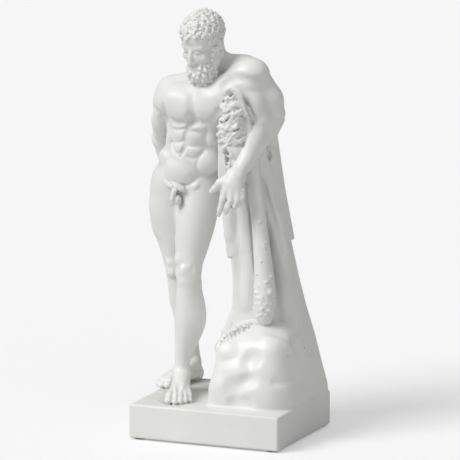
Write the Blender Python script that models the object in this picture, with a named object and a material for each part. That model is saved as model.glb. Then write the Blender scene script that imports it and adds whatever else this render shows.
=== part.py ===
# A cast figure of a resting hero, with lion skin, club, rock and slab, on a plinth with four corner pads.
# Metres, +Z up. The origin is on the ground under the middle of the whole's box, the figure faces -Y.

import math

import bmesh
import bpy
import numpy as np
from mathutils import Matrix, Vector

# Driving sizes
plinth_width = 0.188
plinth_depth = 0.160
plinth_height = 0.0405
plinth_round = 0.0024
pad_diameter = 0.014
pad_thickness = 0.0015
pad_inset = 0.011
seat_gap = 0.0003
carving_height = 0.460
side_gap = 0.0003
carving_root = 0.010

# How finely the carving is fused and how many triangles it may keep
voxel = 0.0016
carving_triangles = 9000

# The carving is drawn in its own millimetres, on a base of this size and height
drawn_height = 460.0
drawn_right = 94.0
drawn_back = 80.0
drawn_ground = 40.0
mm = carving_height / drawn_height

plinth_low = pad_thickness + seat_gap
plinth_top = plinth_low + plinth_height


def point(x, y, z):
    # the drawing's back right corner stands in the plinth's back right corner, on its top
    return Vector((
        plinth_width / 2 - side_gap + (x - drawn_right) * mm,
        plinth_depth / 2 - side_gap + (y - drawn_back) * mm,
        plinth_top + (z - drawn_ground) * mm,
    ))


def turned(yaw=0.0, pitch=0.0, roll=0.0):
    # axes turned about Z, then their own X, then their own Y, in degrees
    about_z = Matrix.Rotation(math.radians(yaw), 3, 'Z')
    about_x = Matrix.Rotation(math.radians(pitch), 3, 'X')
    about_y = Matrix.Rotation(math.radians(roll), 3, 'Y')
    return about_z @ about_x @ about_y


def curve_through(rows, steps):
    # a smooth Catmull-Rom path through rows of numbers, with that many steps between two rows
    rows = [np.array(row, float) for row in rows]
    rows = [2 * rows[0] - rows[1]] + rows + [2 * rows[-1] - rows[-2]]
    path = []
    for a, b, c, d in zip(rows, rows[1:], rows[2:], rows[3:]):
        for i in range(steps):
            t = i / steps
            bend = (2 * a - 5 * b + 4 * c - d) * t * t + (3 * b - a - 3 * c + d) * t ** 3
            path.append(0.5 * (2 * b + (c - a) * t + bend))
    path.append(rows[-2])
    return path


# Forms: closed primitives added to one bmesh

def skin_over(shell, rings, low, high):
    # a closed body over rings of points, drawn to a point at both ends
    loops = [[shell.verts.new(p) for p in ring] for ring in rings]
    first = shell.verts.new(low)
    last = shell.verts.new(high)
    count = len(loops[0])
    for i in range(count):
        j = (i + 1) % count
        shell.faces.new((first, loops[0][j], loops[0][i]))
        shell.faces.new((last, loops[-1][i], loops[-1][j]))
        for lower, upper in zip(loops, loops[1:]):
            shell.faces.new((lower[i], lower[j], upper[j], upper[i]))


def egg(shell, centre, radii, turn=(0, 0, 0)):
    size = Matrix.Diagonal((radii[0] * mm, radii[1] * mm, radii[2] * mm, 1))
    place = Matrix.Translation(point(*centre)) @ turned(*turn).to_4x4() @ size
    bmesh.ops.create_uvsphere(shell, u_segments=24, v_segments=14, radius=1, matrix=place)


def rod(shell, start, end, thick0, thick1, belly=0.0, flat=1.0, side=(1, 0, 0), sides=18):
    # a tapering rod with round ends; belly swells its middle, flat widens it along side
    a = point(*start)
    b = point(*end)
    w = (b - a).normalized()
    length = (b - a).length
    u = Vector(side) - w * w.dot(Vector(side))
    if u.length < 0.1:
        u = w.orthogonal()
    u.normalize()
    v = w.cross(u)
    r0 = thick0 * mm
    r1 = thick1 * mm
    stations = []
    for k in (1, 2, 3):
        bow = math.radians(22.5 * k)
        stations.append((-r0 * math.cos(bow), r0 * math.sin(bow)))
    for k in range(9):
        t = k / 8
        stations.append((length * t, r0 + (r1 - r0) * t + belly * mm * math.sin(math.pi * t) ** 1.5))
    for k in (3, 2, 1):
        bow = math.radians(22.5 * k)
        stations.append((length + r1 * math.cos(bow), r1 * math.sin(bow)))
    rings = []
    for along, r in stations:
        ring = []
        for k in range(sides):
            angle = 2 * math.pi * k / sides
            ring.append(a + w * along + u * (flat * r * math.cos(angle)) + v * (r * math.sin(angle)))
        rings.append(ring)
    skin_over(shell, rings, a - w * r0, b + w * r1)


def bar(shell, points, radii, steps=3):
    # a rod bent along a smooth path, its radius read along it
    path = curve_through(points, steps)
    share = np.linspace(0, 1, len(path))
    thick = np.interp(share, np.linspace(0, 1, len(radii)), radii)
    for a, b, r0, r1 in zip(path, path[1:], thick, thick[1:]):
        rod(shell, a, b, r0, r1, sides=12)


def chain(shell, points, radii):
    for a, b, r0, r1 in zip(points, points[1:], radii, radii[1:]):
        rod(shell, a, b, r0, r1, sides=12)


def trunk_of(shell, levels):
    # levels of (z, centre x, centre y, half width, half depth), ellipses on a smooth path
    rings = []
    path = curve_through(levels, 4)
    for z, x, y, wide, deep in path:
        angles = [2 * math.pi * k / 40 for k in range(40)]
        rings.append([point(x + wide * math.cos(a), y + deep * math.sin(a), z) for a in angles])
    low = path[0]
    high = path[-1]
    skin_over(shell, rings, point(low[1], low[2], low[0] - 3), point(high[1], high[2], high[0] + 3))


def stack(shell, levels, rounded):
    # levels of (z, x0, x1, y0, y1): a post of rectangles with round corners
    rings = []
    for z, x0, x1, y0, y1 in levels:
        ring = []
        for cx, cy, start in ((x1, y1, 0), (x0, y1, 90), (x0, y0, 180), (x1, y0, 270)):
            sx = rounded if cx == x0 else -rounded
            sy = rounded if cy == y0 else -rounded
            for k in range(4):
                a = math.radians(start + 30 * k)
                ring.append(point(cx + sx + rounded * math.cos(a), cy + sy + rounded * math.sin(a), z))
        rings.append(ring)
    z, x0, x1, y0, y1 = levels[0]
    low = point((x0 + x1) / 2, (y0 + y1) / 2, z)
    z, x0, x1, y0, y1 = levels[-1]
    high = point((x0 + x1) / 2, (y0 + y1) / 2, z)
    skin_over(shell, rings, low, high)


# Working on whole meshes

def add_object(name, mesh):
    piece = bpy.data.objects.new(name, mesh)
    bpy.context.scene.collection.objects.link(piece)
    return piece


def evaluated(piece):
    # the mesh that the object's modifiers give; the object goes
    graph = bpy.context.evaluated_depsgraph_get()
    mesh = bpy.data.meshes.new_from_object(piece.evaluated_get(graph))
    bpy.data.objects.remove(piece)
    return mesh


def fused(shells, softness):
    # one skin over everything in the shells, its joints softened
    whole = bmesh.new()
    for shell in shells:
        if isinstance(shell, bmesh.types.BMesh):
            part = bpy.data.meshes.new("part")
            shell.to_mesh(part)
            shell.free()
        else:
            part = shell
        whole.from_mesh(part)
        bpy.data.meshes.remove(part)
    mesh = bpy.data.meshes.new("fused")
    whole.to_mesh(mesh)
    whole.free()
    piece = add_object("fused", mesh)
    melt = piece.modifiers.new("melt", 'REMESH')
    melt.mode = 'VOXEL'
    melt.voxel_size = voxel
    if softness:
        soften = piece.modifiers.new("soften", 'SMOOTH')
        soften.factor = 0.5
        soften.iterations = softness
    return evaluated(piece)


def stroke(places, normals, points, half_width, lift):
    # a sculptor's stroke: the skin near the path rises by lift, or sinks where it is negative
    reach = half_width * mm
    path = []
    for p in points:
        p = np.array(point(*p))
        path.append(places[((places - p) ** 2).sum(1).argmin()])
    if len(path) > 1:
        path = curve_through(path, 6)
    path = np.array(path)
    near = ((places > path.min(0) - reach) & (places < path.max(0) + reach)).all(1)
    spots = np.nonzero(near)[0]
    gap = np.sqrt(((places[spots][:, None] - path[None]) ** 2).sum(2)).min(1)
    weight = np.clip(1 - (gap / reach) ** 2, 0, 1) ** 2
    places[spots] += normals[spots] * (weight * lift * mm)[:, None]


def carve(mesh, strokes):
    count = len(mesh.vertices)
    places = np.empty(count * 3)
    normals = np.empty(count * 3)
    mesh.vertices.foreach_get("co", places)
    mesh.vertices.foreach_get("normal", normals)
    places = places.reshape(-1, 3)
    normals = normals.reshape(-1, 3)
    for points, half_width, lift in strokes:
        stroke(places, normals, points, half_width, lift)
    mesh.vertices.foreach_set("co", places.ravel())
    mesh.update()


# Pose: where the joints of the figure are, in the carving's millimetres
joints = {
    "neck": (-37, 36, 414), "head": (-38, 5, 458),
    "right shoulder": (-89, 27, 385), "right elbow": (-110, 57, 331), "right wrist": (-92, 80, 287),
    "left shoulder": (14, 22, 419), "left elbow": (35, 27, 363), "left wrist": (16, -20, 306),
    "right hip": (-87.5, 31, 286), "right knee": (-84, 40, 187), "right ankle": (-75, 63, 64),
    "left hip": (-50, 33, 292), "left knee": (-55, 5, 186), "left ankle": (-61, -1, 64),
}
head_turn = (-17, 28, 0)


def shifted(place, *moves):
    # a drawn place moved by (direction, distance) pairs
    spot = Vector(place)
    for direction, distance in moves:
        spot = spot + Vector(direction) * distance
    return tuple(spot)


def torso(shell):
    trunk_of(shell, [
        (262, -70, 36, 36, 26), (280, -70.5, 35, 38.5, 32), (297, -68, 33, 36.5, 33),
        (311, -62, 31, 34.5, 31), (325, -57.5, 30, 32.5, 29.5), (340, -54, 30, 33, 29.5),
        (356, -49.5, 30, 38, 32), (372, -46, 30, 45.5, 35), (388, -43, 31, 47, 34),
        (402, -40, 33, 40, 27), (416, -37, 36, 24, 20)])
    egg(shell, (-78, 36, 366), (13, 20, 34), (0, 0, 12))
    egg(shell, (-9, 36, 372), (13, 20, 36), (0, 0, 4))
    # shoulders and the slopes of the neck
    rod(shell, (-37, 40, 410), (-84, 30, 394), 16, 12.5)
    rod(shell, (-37, 42, 408), (6, 30, 428), 16, 12)
    rod(shell, (-32, 38, 428), (6, 29, 427), 13.5, 14)
    egg(shell, (-89.5, 28, 384), (17, 20, 26), (0, -14, 12))
    rod(shell, (-60, 34, 404), (-88, 29, 396), 12, 13)
    egg(shell, (15, 21, 418.5), (26, 23, 22), (0, 0, -18))
    # chest
    for side, x, z, yaw, roll in ((-1, -64.5, 382, -20, 6), (1, -24, 385, 14, -4)):
        egg(shell, (x, 4, z), (27, 13.5, 20), (yaw, 8, roll))
        egg(shell, (x + 2 * side, 1, z - 5), (21, 10, 12), (yaw, 10, roll))
    rod(shell, (-72, 6, 388), (-90, 19, 382), 14, 13)
    rod(shell, (-16, 5, 393), (10, 14, 411), 14, 13)
    rod(shell, (-40, 7, 399), (-82, 16, 395), 10, 10)
    rod(shell, (-33, 8, 401), (5, 16, 420), 10, 10)
    # flanks
    for centre, radii, turn in (
            ((-86, 26, 315), (14, 20, 14), (-6, 0, 16)), ((-37, 18, 315), (16, 16, 16), (20, 0, -10)),
            ((-33, 32, 318), (13, 20, 16), (0, 0, -12)), ((-33, 28, 345), (12, 21, 21), (10, 0, -20)),
            ((-79, 28, 338), (10, 19, 20), (-10, 0, 10))):
        egg(shell, centre, radii, turn)
    # back and seat
    for side in (-1, 1):
        rod(shell, (-45 + side * 10, 57, 372), (-66 + side * 9, 56, 312), 9, 9, 2.5)
        egg(shell, (-43 + side * 27, 56, 388 + side * 5), (20, 9, 22), (-side * 10, 0, -side * 14))
        egg(shell, (-43 + side * 38, 48, 366 + side * 5), (15, 14, 25), (-side * 20, 0, side * 14))
    egg(shell, (-90, 54, 288), (22, 20, 23), (0, 0, 6))
    egg(shell, (-53, 54, 282), (22, 20, 23), (0, 0, -4))
    egg(shell, (-92, 44, 303), (15, 18, 15))
    egg(shell, (-44, 44, 302), (16, 18, 16))

# Half width of the knee, then for the outer and the inner calf muscle: how far out and down its top lies,
# the radius there, the same at its bottom, and its belly
leg_look = {
    "right": (13.5, (5, 14, 10.3, 4.5, 84, 7, 6.2), (5, 12, 10.8, 4, 88, 7, 5.5)),
    "left": (15, (8, 16, 8.8, 5, 100, 7.3, 9.5), (4, 12, 9.3, 4, 92, 6, 3)),
}


def leg(shell, name, side, facing):
    hip = joints[name + " hip"]
    knee = joints[name + " knee"]
    ankle = joints[name + " ankle"]
    knee_half, outer, inner = leg_look[name]
    turn = math.radians(facing)
    front = Vector((math.sin(turn), -math.cos(turn), 0))
    out = Vector((math.cos(turn), math.sin(turn), 0)) * side
    down = (Vector(knee) - Vector(hip)).normalized()
    low = (Vector(ankle) - Vector(knee)).normalized()
    up = Vector((0, 0, 1))
    # thigh
    rod(shell, hip, knee, 24.3, 13.5, 3)
    for top, bottom, r0, r1, belly in (
            (((front, 7), (out, 2), (down, 6)), ((front, 4), (out, 1), (down, -16)), 16, 10, 4),
            (((out, 6), (down, 14)), ((out, 5), (down, -24)), 17, 11, 4),
            (((out, -5), (front, 5), (down, 48)), ((out, -7.5), (front, 3), (down, -12)), 12, 9, 3),
            (((out, -8), (down, 10)), ((out, -6), (down, -40)), 18, 11, 2),
            (((front, -12), (down, 12), (out, 4)), ((front, -8), (out, 5), (down, -2)), 14, 7, 4),
            (((front, -12), (out, -5), (down, 16)), ((front, -8), (out, -5), (down, -2)), 14, 7, 4)):
        rod(shell, shifted(hip, *top), shifted(knee, *bottom), r0, r1, belly)
    # knee
    egg(shell, shifted(knee, (up, -3)), (knee_half, 13, 15.5))
    egg(shell, shifted(knee, (front, 9.5), (up, 1.5)), (8.2, 6.8, 9.2))
    egg(shell, shifted(knee, (front, 9), (up, -11)), (7, 6, 7.2))
    egg(shell, shifted(knee, (front, 6), (out, -8), (up, 12)), (6.5, 6.5, 9.5))
    egg(shell, shifted(knee, (front, 5), (out, 7.5), (up, 10)), (5.5, 5.5, 9.5))
    # shin, calf and ankle
    rod(shell, shifted(knee, (low, 6)), ankle, 13.3, 9, 1)
    for way, back, muscle in ((1, -4, outer), (-1, -5, inner)):
        out0, low0, r0, out1, low1, r1, belly = muscle
        rod(shell, shifted(knee, (front, back), (out, way * out0), (low, low0)),
            shifted(knee, (front, -5), (out, way * out1), (low, low1)), r0, r1, belly)
    rod(shell, shifted(knee, (out, 6), (front, 2), (low, 14)),
        shifted(ankle, (out, 2), (front, 3), (low, -28)), 9, 6, 2.5)
    rod(shell, shifted(ankle, (front, -7), (low, -40)), shifted(ankle, (front, -8.5), (low, 4)), 6.4, 5.2)
    egg(shell, shifted(ankle, (out, 6), (up, -1)), (4.6, 5.8, 6.3))
    egg(shell, shifted(ankle, (out, -6.5), (up, 1.5)), (4.8, 5.8, 6.3))


def foot(shell, name, side, toes, heel_back):
    ankle = Vector(joints[name + " ankle"])
    sole = Vector((ankle.x, ankle.y, drawn_ground - 0.5))
    ahead = Vector((toes[0] - ankle.x, toes[1] - ankle.y, 0))
    length = ahead.length
    ahead.normalize()
    out = Vector((-ahead.y, ahead.x, 0)) * side
    up = Vector((0, 0, 1))
    egg(shell, shifted(sole, (ahead, -heel_back), (up, 9)), (9, 9.6, 9.6))
    rod(shell, shifted(sole, (ahead, -heel_back), (up, 10.5)), ankle, 8.6, 8.8)
    rod(shell, shifted(ankle, (ahead, 2), (up, -2)), shifted(sole, (ahead, length * 0.6), (up, 9)), 9.2, 7.2,
        flat=1.25, side=out)
    rod(shell, shifted(sole, (up, 6.5), (out, 3)),
        shifted(sole, (ahead, length * 0.58), (out, 8.5), (up, 6)), 7, 6.2)
    rod(shell, shifted(sole, (ahead, 8), (out, -4), (up, 9)),
        shifted(sole, (ahead, length * 0.64), (out, -8), (up, 7.5)), 7, 7.1)
    for across, reach, r in (
            (-10.5, 0.98, 4.9), (-3.0, 1.0, 3.7), (2.8, 0.965, 3.5), (8.2, 0.9, 3.3), (13.0, 0.81, 3.1)):
        chain(shell, [
            shifted(sole, (ahead, length * (reach - 0.36)), (out, across * 0.8), (up, 9)),
            shifted(sole, (ahead, length * (reach - 0.14)), (out, across * 0.97), (up, r + 4.4)),
            shifted(sole, (ahead, length * reach - r), (out, across * 1.02), (up, r + 0.3)),
        ], [r + 1.0, r + 0.2, r + 0.3])


def left_arm(shell):
    shoulder = joints["left shoulder"]
    elbow = joints["left elbow"]
    wrist = joints["left wrist"]
    rod(shell, shoulder, elbow, 18, 13.4)
    rod(shell, (15, 12, 404), (33, 14, 370), 13, 11, 4.5)
    rod(shell, (31, 31, 407), (44, 37, 374), 12.8, 10.3, 4.5)
    rod(shell, (41, 33, 373), (38, 32, 359), 9.5, 9.5)
    rod(shell, elbow, wrist, 13, 9.2)
    rod(shell, (30, 18, 366), (24, -6, 326), 10.3, 7.3, 4.5)
    rod(shell, (38, 24, 355), (26, -2, 318), 9.8, 7.3, 3.2)
    rod(shell, (16, -20, 308), (13, -24, 299), 10, 10, flat=1.25, side=(1, 0.2, 0))


def left_hand(shell):
    # hanging, its back to the front, the first finger nearly straight
    egg(shell, (12, -24, 293), (14, 8.5, 15.5), (-10, -14, 8))
    egg(shell, (16, -22, 284), (12, 8, 10.5), (-10, -14, 8))
    chain(shell, [(7.5, -29, 292), (4.2, -31, 281), (0.7, -31, 269), (-2, -29, 262)], [4.6, 3.9, 3.6, 2.7])
    chain(shell, [(14.5, -29, 292), (14.8, -31, 282), (11, -31, 273), (7.2, -28, 266)], [4.8, 4.0, 3.7, 2.9])
    chain(shell, [(21.5, -27, 292), (21.6, -29, 281), (18.4, -29, 274), (15.4, -25, 271)],
          [4.6, 3.9, 3.5, 3.0])
    chain(shell, [(27, -24, 292), (27.6, -26, 283), (25.4, -26, 277), (23, -23, 274)], [4.2, 3.6, 3.3, 2.8])
    chain(shell, [(5, -24, 302), (-2, -26, 299), (-8, -26, 292), (-13, -25, 288)], [6.7, 5, 4, 3.0])


def right_arm(shell):
    shoulder = joints["right shoulder"]
    elbow = joints["right elbow"]
    wrist = joints["right wrist"]
    rod(shell, shoulder, elbow, 15, 12)
    rod(shell, (-94, 24, 372), (-107, 44, 338), 11, 9.5, 3.5)
    rod(shell, (-92.5, 40, 376), (-109, 60, 340), 10.5, 9, 4)
    egg(shell, (-112, 59, 330), (11.5, 11, 12))
    rod(shell, (-111, 58, 328), wrist, 13, 8)
    rod(shell, (-113, 61, 326), (-108, 76, 296), 12.2, 9.8, 2.5)


def right_hand(shell):
    # empty, laid flat on the back of the hip
    rod(shell, joints["right wrist"], (-74, 81, 277), 8.1, 8.1, flat=1.3, side=(0.3, 0, 1))
    for i in range(4):
        knuckle = (-71, 82, 283.5 - 5.2 * i)
        middle = (-59, 81.5, 278.5 - 6.2 * i)
        chain(shell, [knuckle, middle, (-51, 78, 274.5 - 6.2 * i)], [4.4, 3.9, 3.3])
    rod(shell, (-82, 82, 289), (-68, 84, 292), 5.2, 3.6)


def on_head(x, y, z):
    # from the middle of the skull, x to the figure's left, -y out of the face
    return tuple(Vector(joints["head"]) + turned(*head_turn) @ Vector((x, y, z)))


def neck(shell):
    rod(shell, (-37, 36, 408), on_head(0, 13, -14), 21, 15.5)
    rod(shell, on_head(17, 6, -16), (-33, 6, 402), 6.3, 5)
    rod(shell, on_head(-17, 6, -16), (-42, 5, 400), 6.3, 5)


def curls_round(shell, centre, radii, count, wanted, size):
    # small lumps spread evenly over an egg, where wanted(x, y, z) says so
    golden = math.pi * (3 - math.sqrt(5))
    for i in range(count):
        h = 1 - 2 * (i + 0.5) / count
        ring = math.sqrt(1 - h * h)
        x = centre[0] + radii[0] * ring * math.cos(golden * i)
        y = centre[1] + radii[1] * ring * math.sin(golden * i)
        z = centre[2] + radii[2] * h
        if wanted(x, y, z):
            place = Matrix.Translation(point(*on_head(x, y, z))) @ Matrix.Scale(size * mm, 4)
            bmesh.ops.create_icosphere(shell, subdivisions=2, radius=1, matrix=place)


def head(shell):
    egg(shell, on_head(0, 4, 6), (21.5, 26, 24), head_turn)
    egg(shell, on_head(0, -9, -11), (17, 17, 21.5), head_turn)
    egg(shell, on_head(0, -15, -24), (11.5, 9.5, 9.5), head_turn)
    rod(shell, on_head(0, -22.5, 3), on_head(0, -28.5, -11.5), 2.8, 3.6)
    egg(shell, on_head(0, 6, 9.5), (24.5, 28.5, 24), head_turn)
    egg(shell, on_head(0, -19.5, -32), (15, 12.5, 15.5), head_turn)
    for side in (-1, 1):
        rod(shell, on_head(side * 3, -21.5, 5.5), on_head(side * 14, -16.5, 4.5), 3.8, 3)
        egg(shell, on_head(side * 11.5, -17, -8.5), (6.6, 5.4, 5.4), head_turn)
        egg(shell, on_head(side * 2.9, -26.2, -12.8), (2.6, 3.1, 2.5), head_turn)
        rod(shell, on_head(side * 18, -2, -8), on_head(side * 11, -11, -27), 7, 8.5)
        rod(shell, on_head(side * 1.5, -26.5, -17.5), on_head(side * 11.5, -21, -25), 3.2, 3)
        egg(shell, on_head(side * 23, 5, -5), (3, 5.4, 7.4), head_turn)

    def on_scalp(x, y, z):
        fringe = y < -8 and z > 17
        temple = abs(x) > 17 and y < 8 and z < 3
        return fringe or (y >= -8 and z > -4 - 0.45 * max(y, 0) and not temple)

    def on_beard(x, y, z):
        mouth = abs(x) < 5 and y < -24 and z > -25
        return y < -6 and z < -19 and not mouth

    curls_round(shell, (0, 6, 9.5), (24.5, 28.5, 24), 150, on_scalp, 3.6)
    curls_round(shell, (0, -17.5, -30), (15.5, 14, 16), 50, on_beard, 2.9)


def loins(shell):
    chain(shell, [(-83, 5, 287), (-76, 1, 286), (-66, 1, 284), (-58, 6, 281)], [2.2, 4.2, 4.2, 2.4])
    egg(shell, (-70.5, -1, 269.5), (4.9, 5.5, 7.1), (0, 0, 8))
    egg(shell, (-66, 0, 269.5), (4.5, 5.3, 6.5))
    rod(shell, (-69.5, -3, 280), (-71.5, -5, 270.5), 3.5, 3.2)


def slab_and_rock(shell):
    # the slab's right side runs up from the plinth's right side and leans in
    root = drawn_ground - carving_root / mm
    stack(shell, [
        (root, -12, 94, -24, 80), (50, -12, 91.2, -14, 80), (71, -12, 85, 4, 79.8), (108, -12, 75, 33, 79.5),
        (140, -7, 64.5, 36, 79), (172, -5, 56, 37, 78.4), (221, -3, 45, 37, 77), (280, 3, 34.5, 37, 75.5),
        (340, 8, 27, 40, 73), (350, 10, 25, 42, 72)], 3)
    stack(shell, [
        (root, -9, 68, -56, 40), (60, -8, 67, -55, 40), (71, -5.4, 66.5, -53, 40), (82, -2.6, 66, -51, 40),
        (95, -2.6, 65, -46, 40), (104, -2, 64, -43, 40), (120, 3, 62, -32, 40), (132, 15, 58, -20, 40)], 13)
    stack(shell, [
        (root, 30, 92, -42, 40), (60, 30, 90.5, -41, 40), (82, 30, 87, -38, 40), (102, 30, 82.5, -32, 40),
        (117, 32, 79, -24, 40), (130, 38, 74, -12, 40)], 17)


rock_strokes = [
    # lumps
    ([(26, -48, 86), (36, -50, 91)], 14, 3.0), ([(14, -40, 108)], 13, 1.6),
    ([(48, -37, 115), (62, -36, 115)], 11, 1.8), ([(80, -20, 107)], 11, 2.0),
    ([(64, -46, 84), (74, -42, 88)], 12, 2.6), ([(46, -54, 60), (62, -52, 60)], 13, 2.6),
    ([(14, -56, 52), (14, -55, 66)], 12, 2.0), ([(86, -34, 60)], 12, 1.8), ([(62, -46, 97)], 9, 1.8),
    # hollows
    ([(46, -48, 97), (50, -47, 100)], 13, -2.6), ([(29, -55, 72), (29, -55, 68)], 12, -2.0),
    ([(70, -48, 72), (86, -38, 74)], 9, -1.8), ([(42, -54, 76), (50, -54, 78)], 8, -1.6),
    ([(32, -56, 47), (46, -56, 48)], 9, -1.2),
]


def club(shell):
    levels = curve_through([
        (137, 47.5, -8, 8), (143, 47.5, -9, 11.2), (151, 47.4, -9.5, 12.7), (160, 47.3, -8.5, 13.3),
        (172, 47, -7, 13.1), (199, 44, -4, 11.4), (225, 40.5, -2, 10.2), (274, 33, 2, 9),
        (291, 30, 3, 8.2), (340, 24, 8, 6.9), (402, 18, 12, 5.4)], 2)
    chain(shell, [(x, y, z) for z, x, y, r in levels], [r for z, x, y, r in levels])
    for place, r in (
            ((48, -10, 225), 2.0), ((45, -14, 208), 1.9), ((40, -15, 192), 1.7), ((55, -8, 189), 2.4),
            ((52, -14, 184), 2.2), ((55, -14, 171), 3.0), ((38, -17, 169), 2.6), ((59, -11, 164), 2.1),
            ((40, -20, 157), 2.6), ((58, -18, 152), 2.5), ((50, -22, 152), 2.6), ((48, -21, 143), 2.4)):
        egg(shell, place, (r, r, r))


def lion_skin(shell):
    # trunk under the skin, the flap beside the club and the cover over the slab
    stack(shell, [
        (95, -17, 60, 8, 45), (112, -16.5, 60, 6, 45), (121, -12.5, 58, 6, 45), (128, -8.8, 56, 6, 45),
        (135, -6.2, 55, 6, 45), (142, -3.2, 54, 6.5, 45), (165, -1.6, 50, 6.5, 45), (190, -2.4, 45, 6, 45),
        (215, -4, 40, 5, 45)], 7)
    stack(shell, [
        (203, -8, 6, 4, 45), (209, -8, 14, 4, 45), (219, -8.6, 37, 4, 45), (262, -12, 36, 1.5, 45),
        (302, -15.5, 32, -3, 45), (345, -14.5, 30, -4, 45), (374, -12, 26, -1, 45)], 4)
    stack(shell, [
        (217, 20, 50.2, 33, 78.4), (240, 18, 45.6, 32, 78), (280, 15, 38, 31, 77), (340, 10, 30, 33, 74),
        (352, 10, 28, 36, 72)], 3)
    bar(shell, [(26, 22, 352), (36, 23, 300), (47, 24, 240), (56, 27, 190), (64, 28, 150), (71, 22, 112)],
        [6, 7, 7, 7, 7, 4.5])
    bar(shell, [(26, 37, 346), (34, 38, 290), (43, 44, 236), (51, 46, 208), (57, 47, 178),
                (61, 47, 160), (67, 44, 131), (76, 34, 106), (82, 28, 96)],
        [4, 4.5, 4.5, 4.7, 4.9, 5.1, 5.5, 5.5, 3.5])
    rod(shell, (42, 44, 364), (24, 58, 342), 7.5, 9.5, flat=1.3, side=(0, 1, 0))
    rod(shell, (20, 40, 380), (38, 44, 366), 11.5, 8.5)
    # mane, muzzle and the hood's edge
    egg(shell, (6, 3, 374), (14, 18, 33), (0, 0, 6))
    egg(shell, (4, 1, 354), (18, 15, 24))
    egg(shell, (6, -5, 334), (14, 9.5, 12))
    hood = [(-9, -4, 388), (-4, -9, 397), (2, -12, 405), (9, -12, 408), (16, -11, 402), (21, -8, 390),
            (25, -3, 376), (27, 6, 364)]
    bar(shell, hood, [2.0, 2.4, 2.8, 3.4, 3.8, 4.0, 4.0, 3.6])
    # the curled ear at the slab's edge and the paw laid on the rock
    ear = [(34.5 + 6.2 * math.cos(a), 31.5 + 3.6 * math.cos(a), 325 + 8.6 * math.sin(a))
           for a in (math.radians(100 - 38 * k) for k in range(8))]
    chain(shell, ear, [1.8, 2.6, 3, 3.1, 3.1, 3, 2.6, 1.8])
    bar(shell, [(-3, -33, 105), (3, -33, 112), (11, -30, 119), (20, -24, 126), (31, -13, 131)],
        [3.2, 4.2, 5, 4.8, 3.6])


def mane_locks(shell):
    # wavy locks in rows across the mane, each bowed upward
    for row in range(9):
        z = 401 - 6.8 * row
        half = min(5 + 3.4 * row, 17)
        middle = 5.5 - 0.1 * row
        count = 2 if row < 2 else 3
        for k in range(count):
            x0 = middle - half + 2 * half * k / count
            x1 = x0 + 2 * half / count
            shift = 1.2 if (row + k) % 2 else -1.0
            lock = []
            for x, rise in ((x0, 0), ((x0 + x1) / 2, 2.6), (x1, -0.6)):
                bulge = math.sqrt(max(1 - ((x - 5) / 20) ** 2 - ((z - 368) / 46) ** 2, 0))
                lock.append((x, 2 - 17.5 * bulge, z + rise + shift))
            bar(shell, lock, [2.4, 2.6, 2.0], 2)


body_strokes = [
    # under the chest, and the breastbone
    ([(-81, -5, 380), (-79, 0, 370), (-72, 1, 362), (-61, -3, 363), (-50, -5, 366)], 7, -2.0),
    ([(-45, -3, 365), (-33, -2, 364), (-25, 0, 365), (-17, -2, 370)], 7, -2.0),
    ([(-41, -2, 404), (-42, -7, 394), (-42, -10, 385), (-44, -9, 375), (-49, -2, 366)], 7, -1.8),
    # belly pads and the lines between them
    ([(-69, 1, 356), (-61, 0, 358)], 5.5, 1.3), ([(-43, -1, 358), (-37, 0, 356)], 6, 1.4),
    ([(-67, 1, 346), (-63, 0, 346)], 8, 1.8), ([(-46, 0, 345), (-41, 1, 342)], 10.5, 2.0),
    ([(-66, 1, 331)], 8, 2.0), ([(-49, 2, 329), (-43, 3, 327)], 8, 1.6),
    ([(-49, 1, 363), (-54, 0, 353), (-57, 1, 343), (-57, 2, 334), (-61, 2, 326)], 4, -1.5),
    ([(-77, 9, 350), (-66, 2, 352), (-56, -1, 355)], 3.8, -1.1),
    ([(-54, 1, 351), (-46, 1, 352), (-37, 2, 353), (-32, 4, 356)], 3.8, -1.1),
    ([(-77, 9, 335), (-66, 2, 337), (-58, 2, 340)], 3.8, -1.1),
    ([(-54, 2, 334), (-44, 2, 333.5), (-35, 8, 336)], 3.8, -1.1),
    ([(-74, 5, 328), (-66, 3, 323.5), (-54, 1, 321), (-46, 3, 319.5)], 4, -1.2),
    # side of the belly
    ([(-25, 6, 347), (-25, 6, 339)], 9, 2.2), ([(-30, 6, 320), (-29, 6, 308)], 12, 1.8),
    ([(-32, 3, 355), (-33, 6, 343), (-36, 9, 335)], 4.5, -1.5),
    ([(-22, 17, 333), (-30, 10, 332), (-36, 9, 329), (-40, 6, 319), (-43, 5, 309), (-44, 9, 300)], 4.5, -1.6),
    # navel, lower belly and groin
    ([(-63, 2, 320.5)], 3.4, -2.4),
    ([(-74, 2, 304), (-58, 2, 304)], 15, 1.5),
    ([(-25, 28, 298), (-30, 24, 297), (-36, 16, 296.5), (-43, 11, 297), (-53, 6, 289),
      (-60, 3, 285)], 5, -2.0),
    ([(-91, 9, 318), (-88, 7, 306), (-86, 6, 297), (-81, 4, 290), (-70, 0, 287.5)], 5, -2.0),
    ([(-48, 5, 285), (-44, 5, 287)], 5.5, 2.0),
    # front fold of the left shoulder
    ([(-5, 1, 408), (1, 0, 416), (10, 0, 419), (26, 2, 417), (36, 12, 415)], 8, -3.0),
    # furrow of the back
    ([(-38, 62, 404), (-43, 66, 385), (-50, 63, 360), (-58, 62, 335), (-66, 66, 310)], 10, -3.5),
    ([(-71, 72, 300), (-72, 74, 288), (-71, 66, 272)], 7, -5.0),
]
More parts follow.
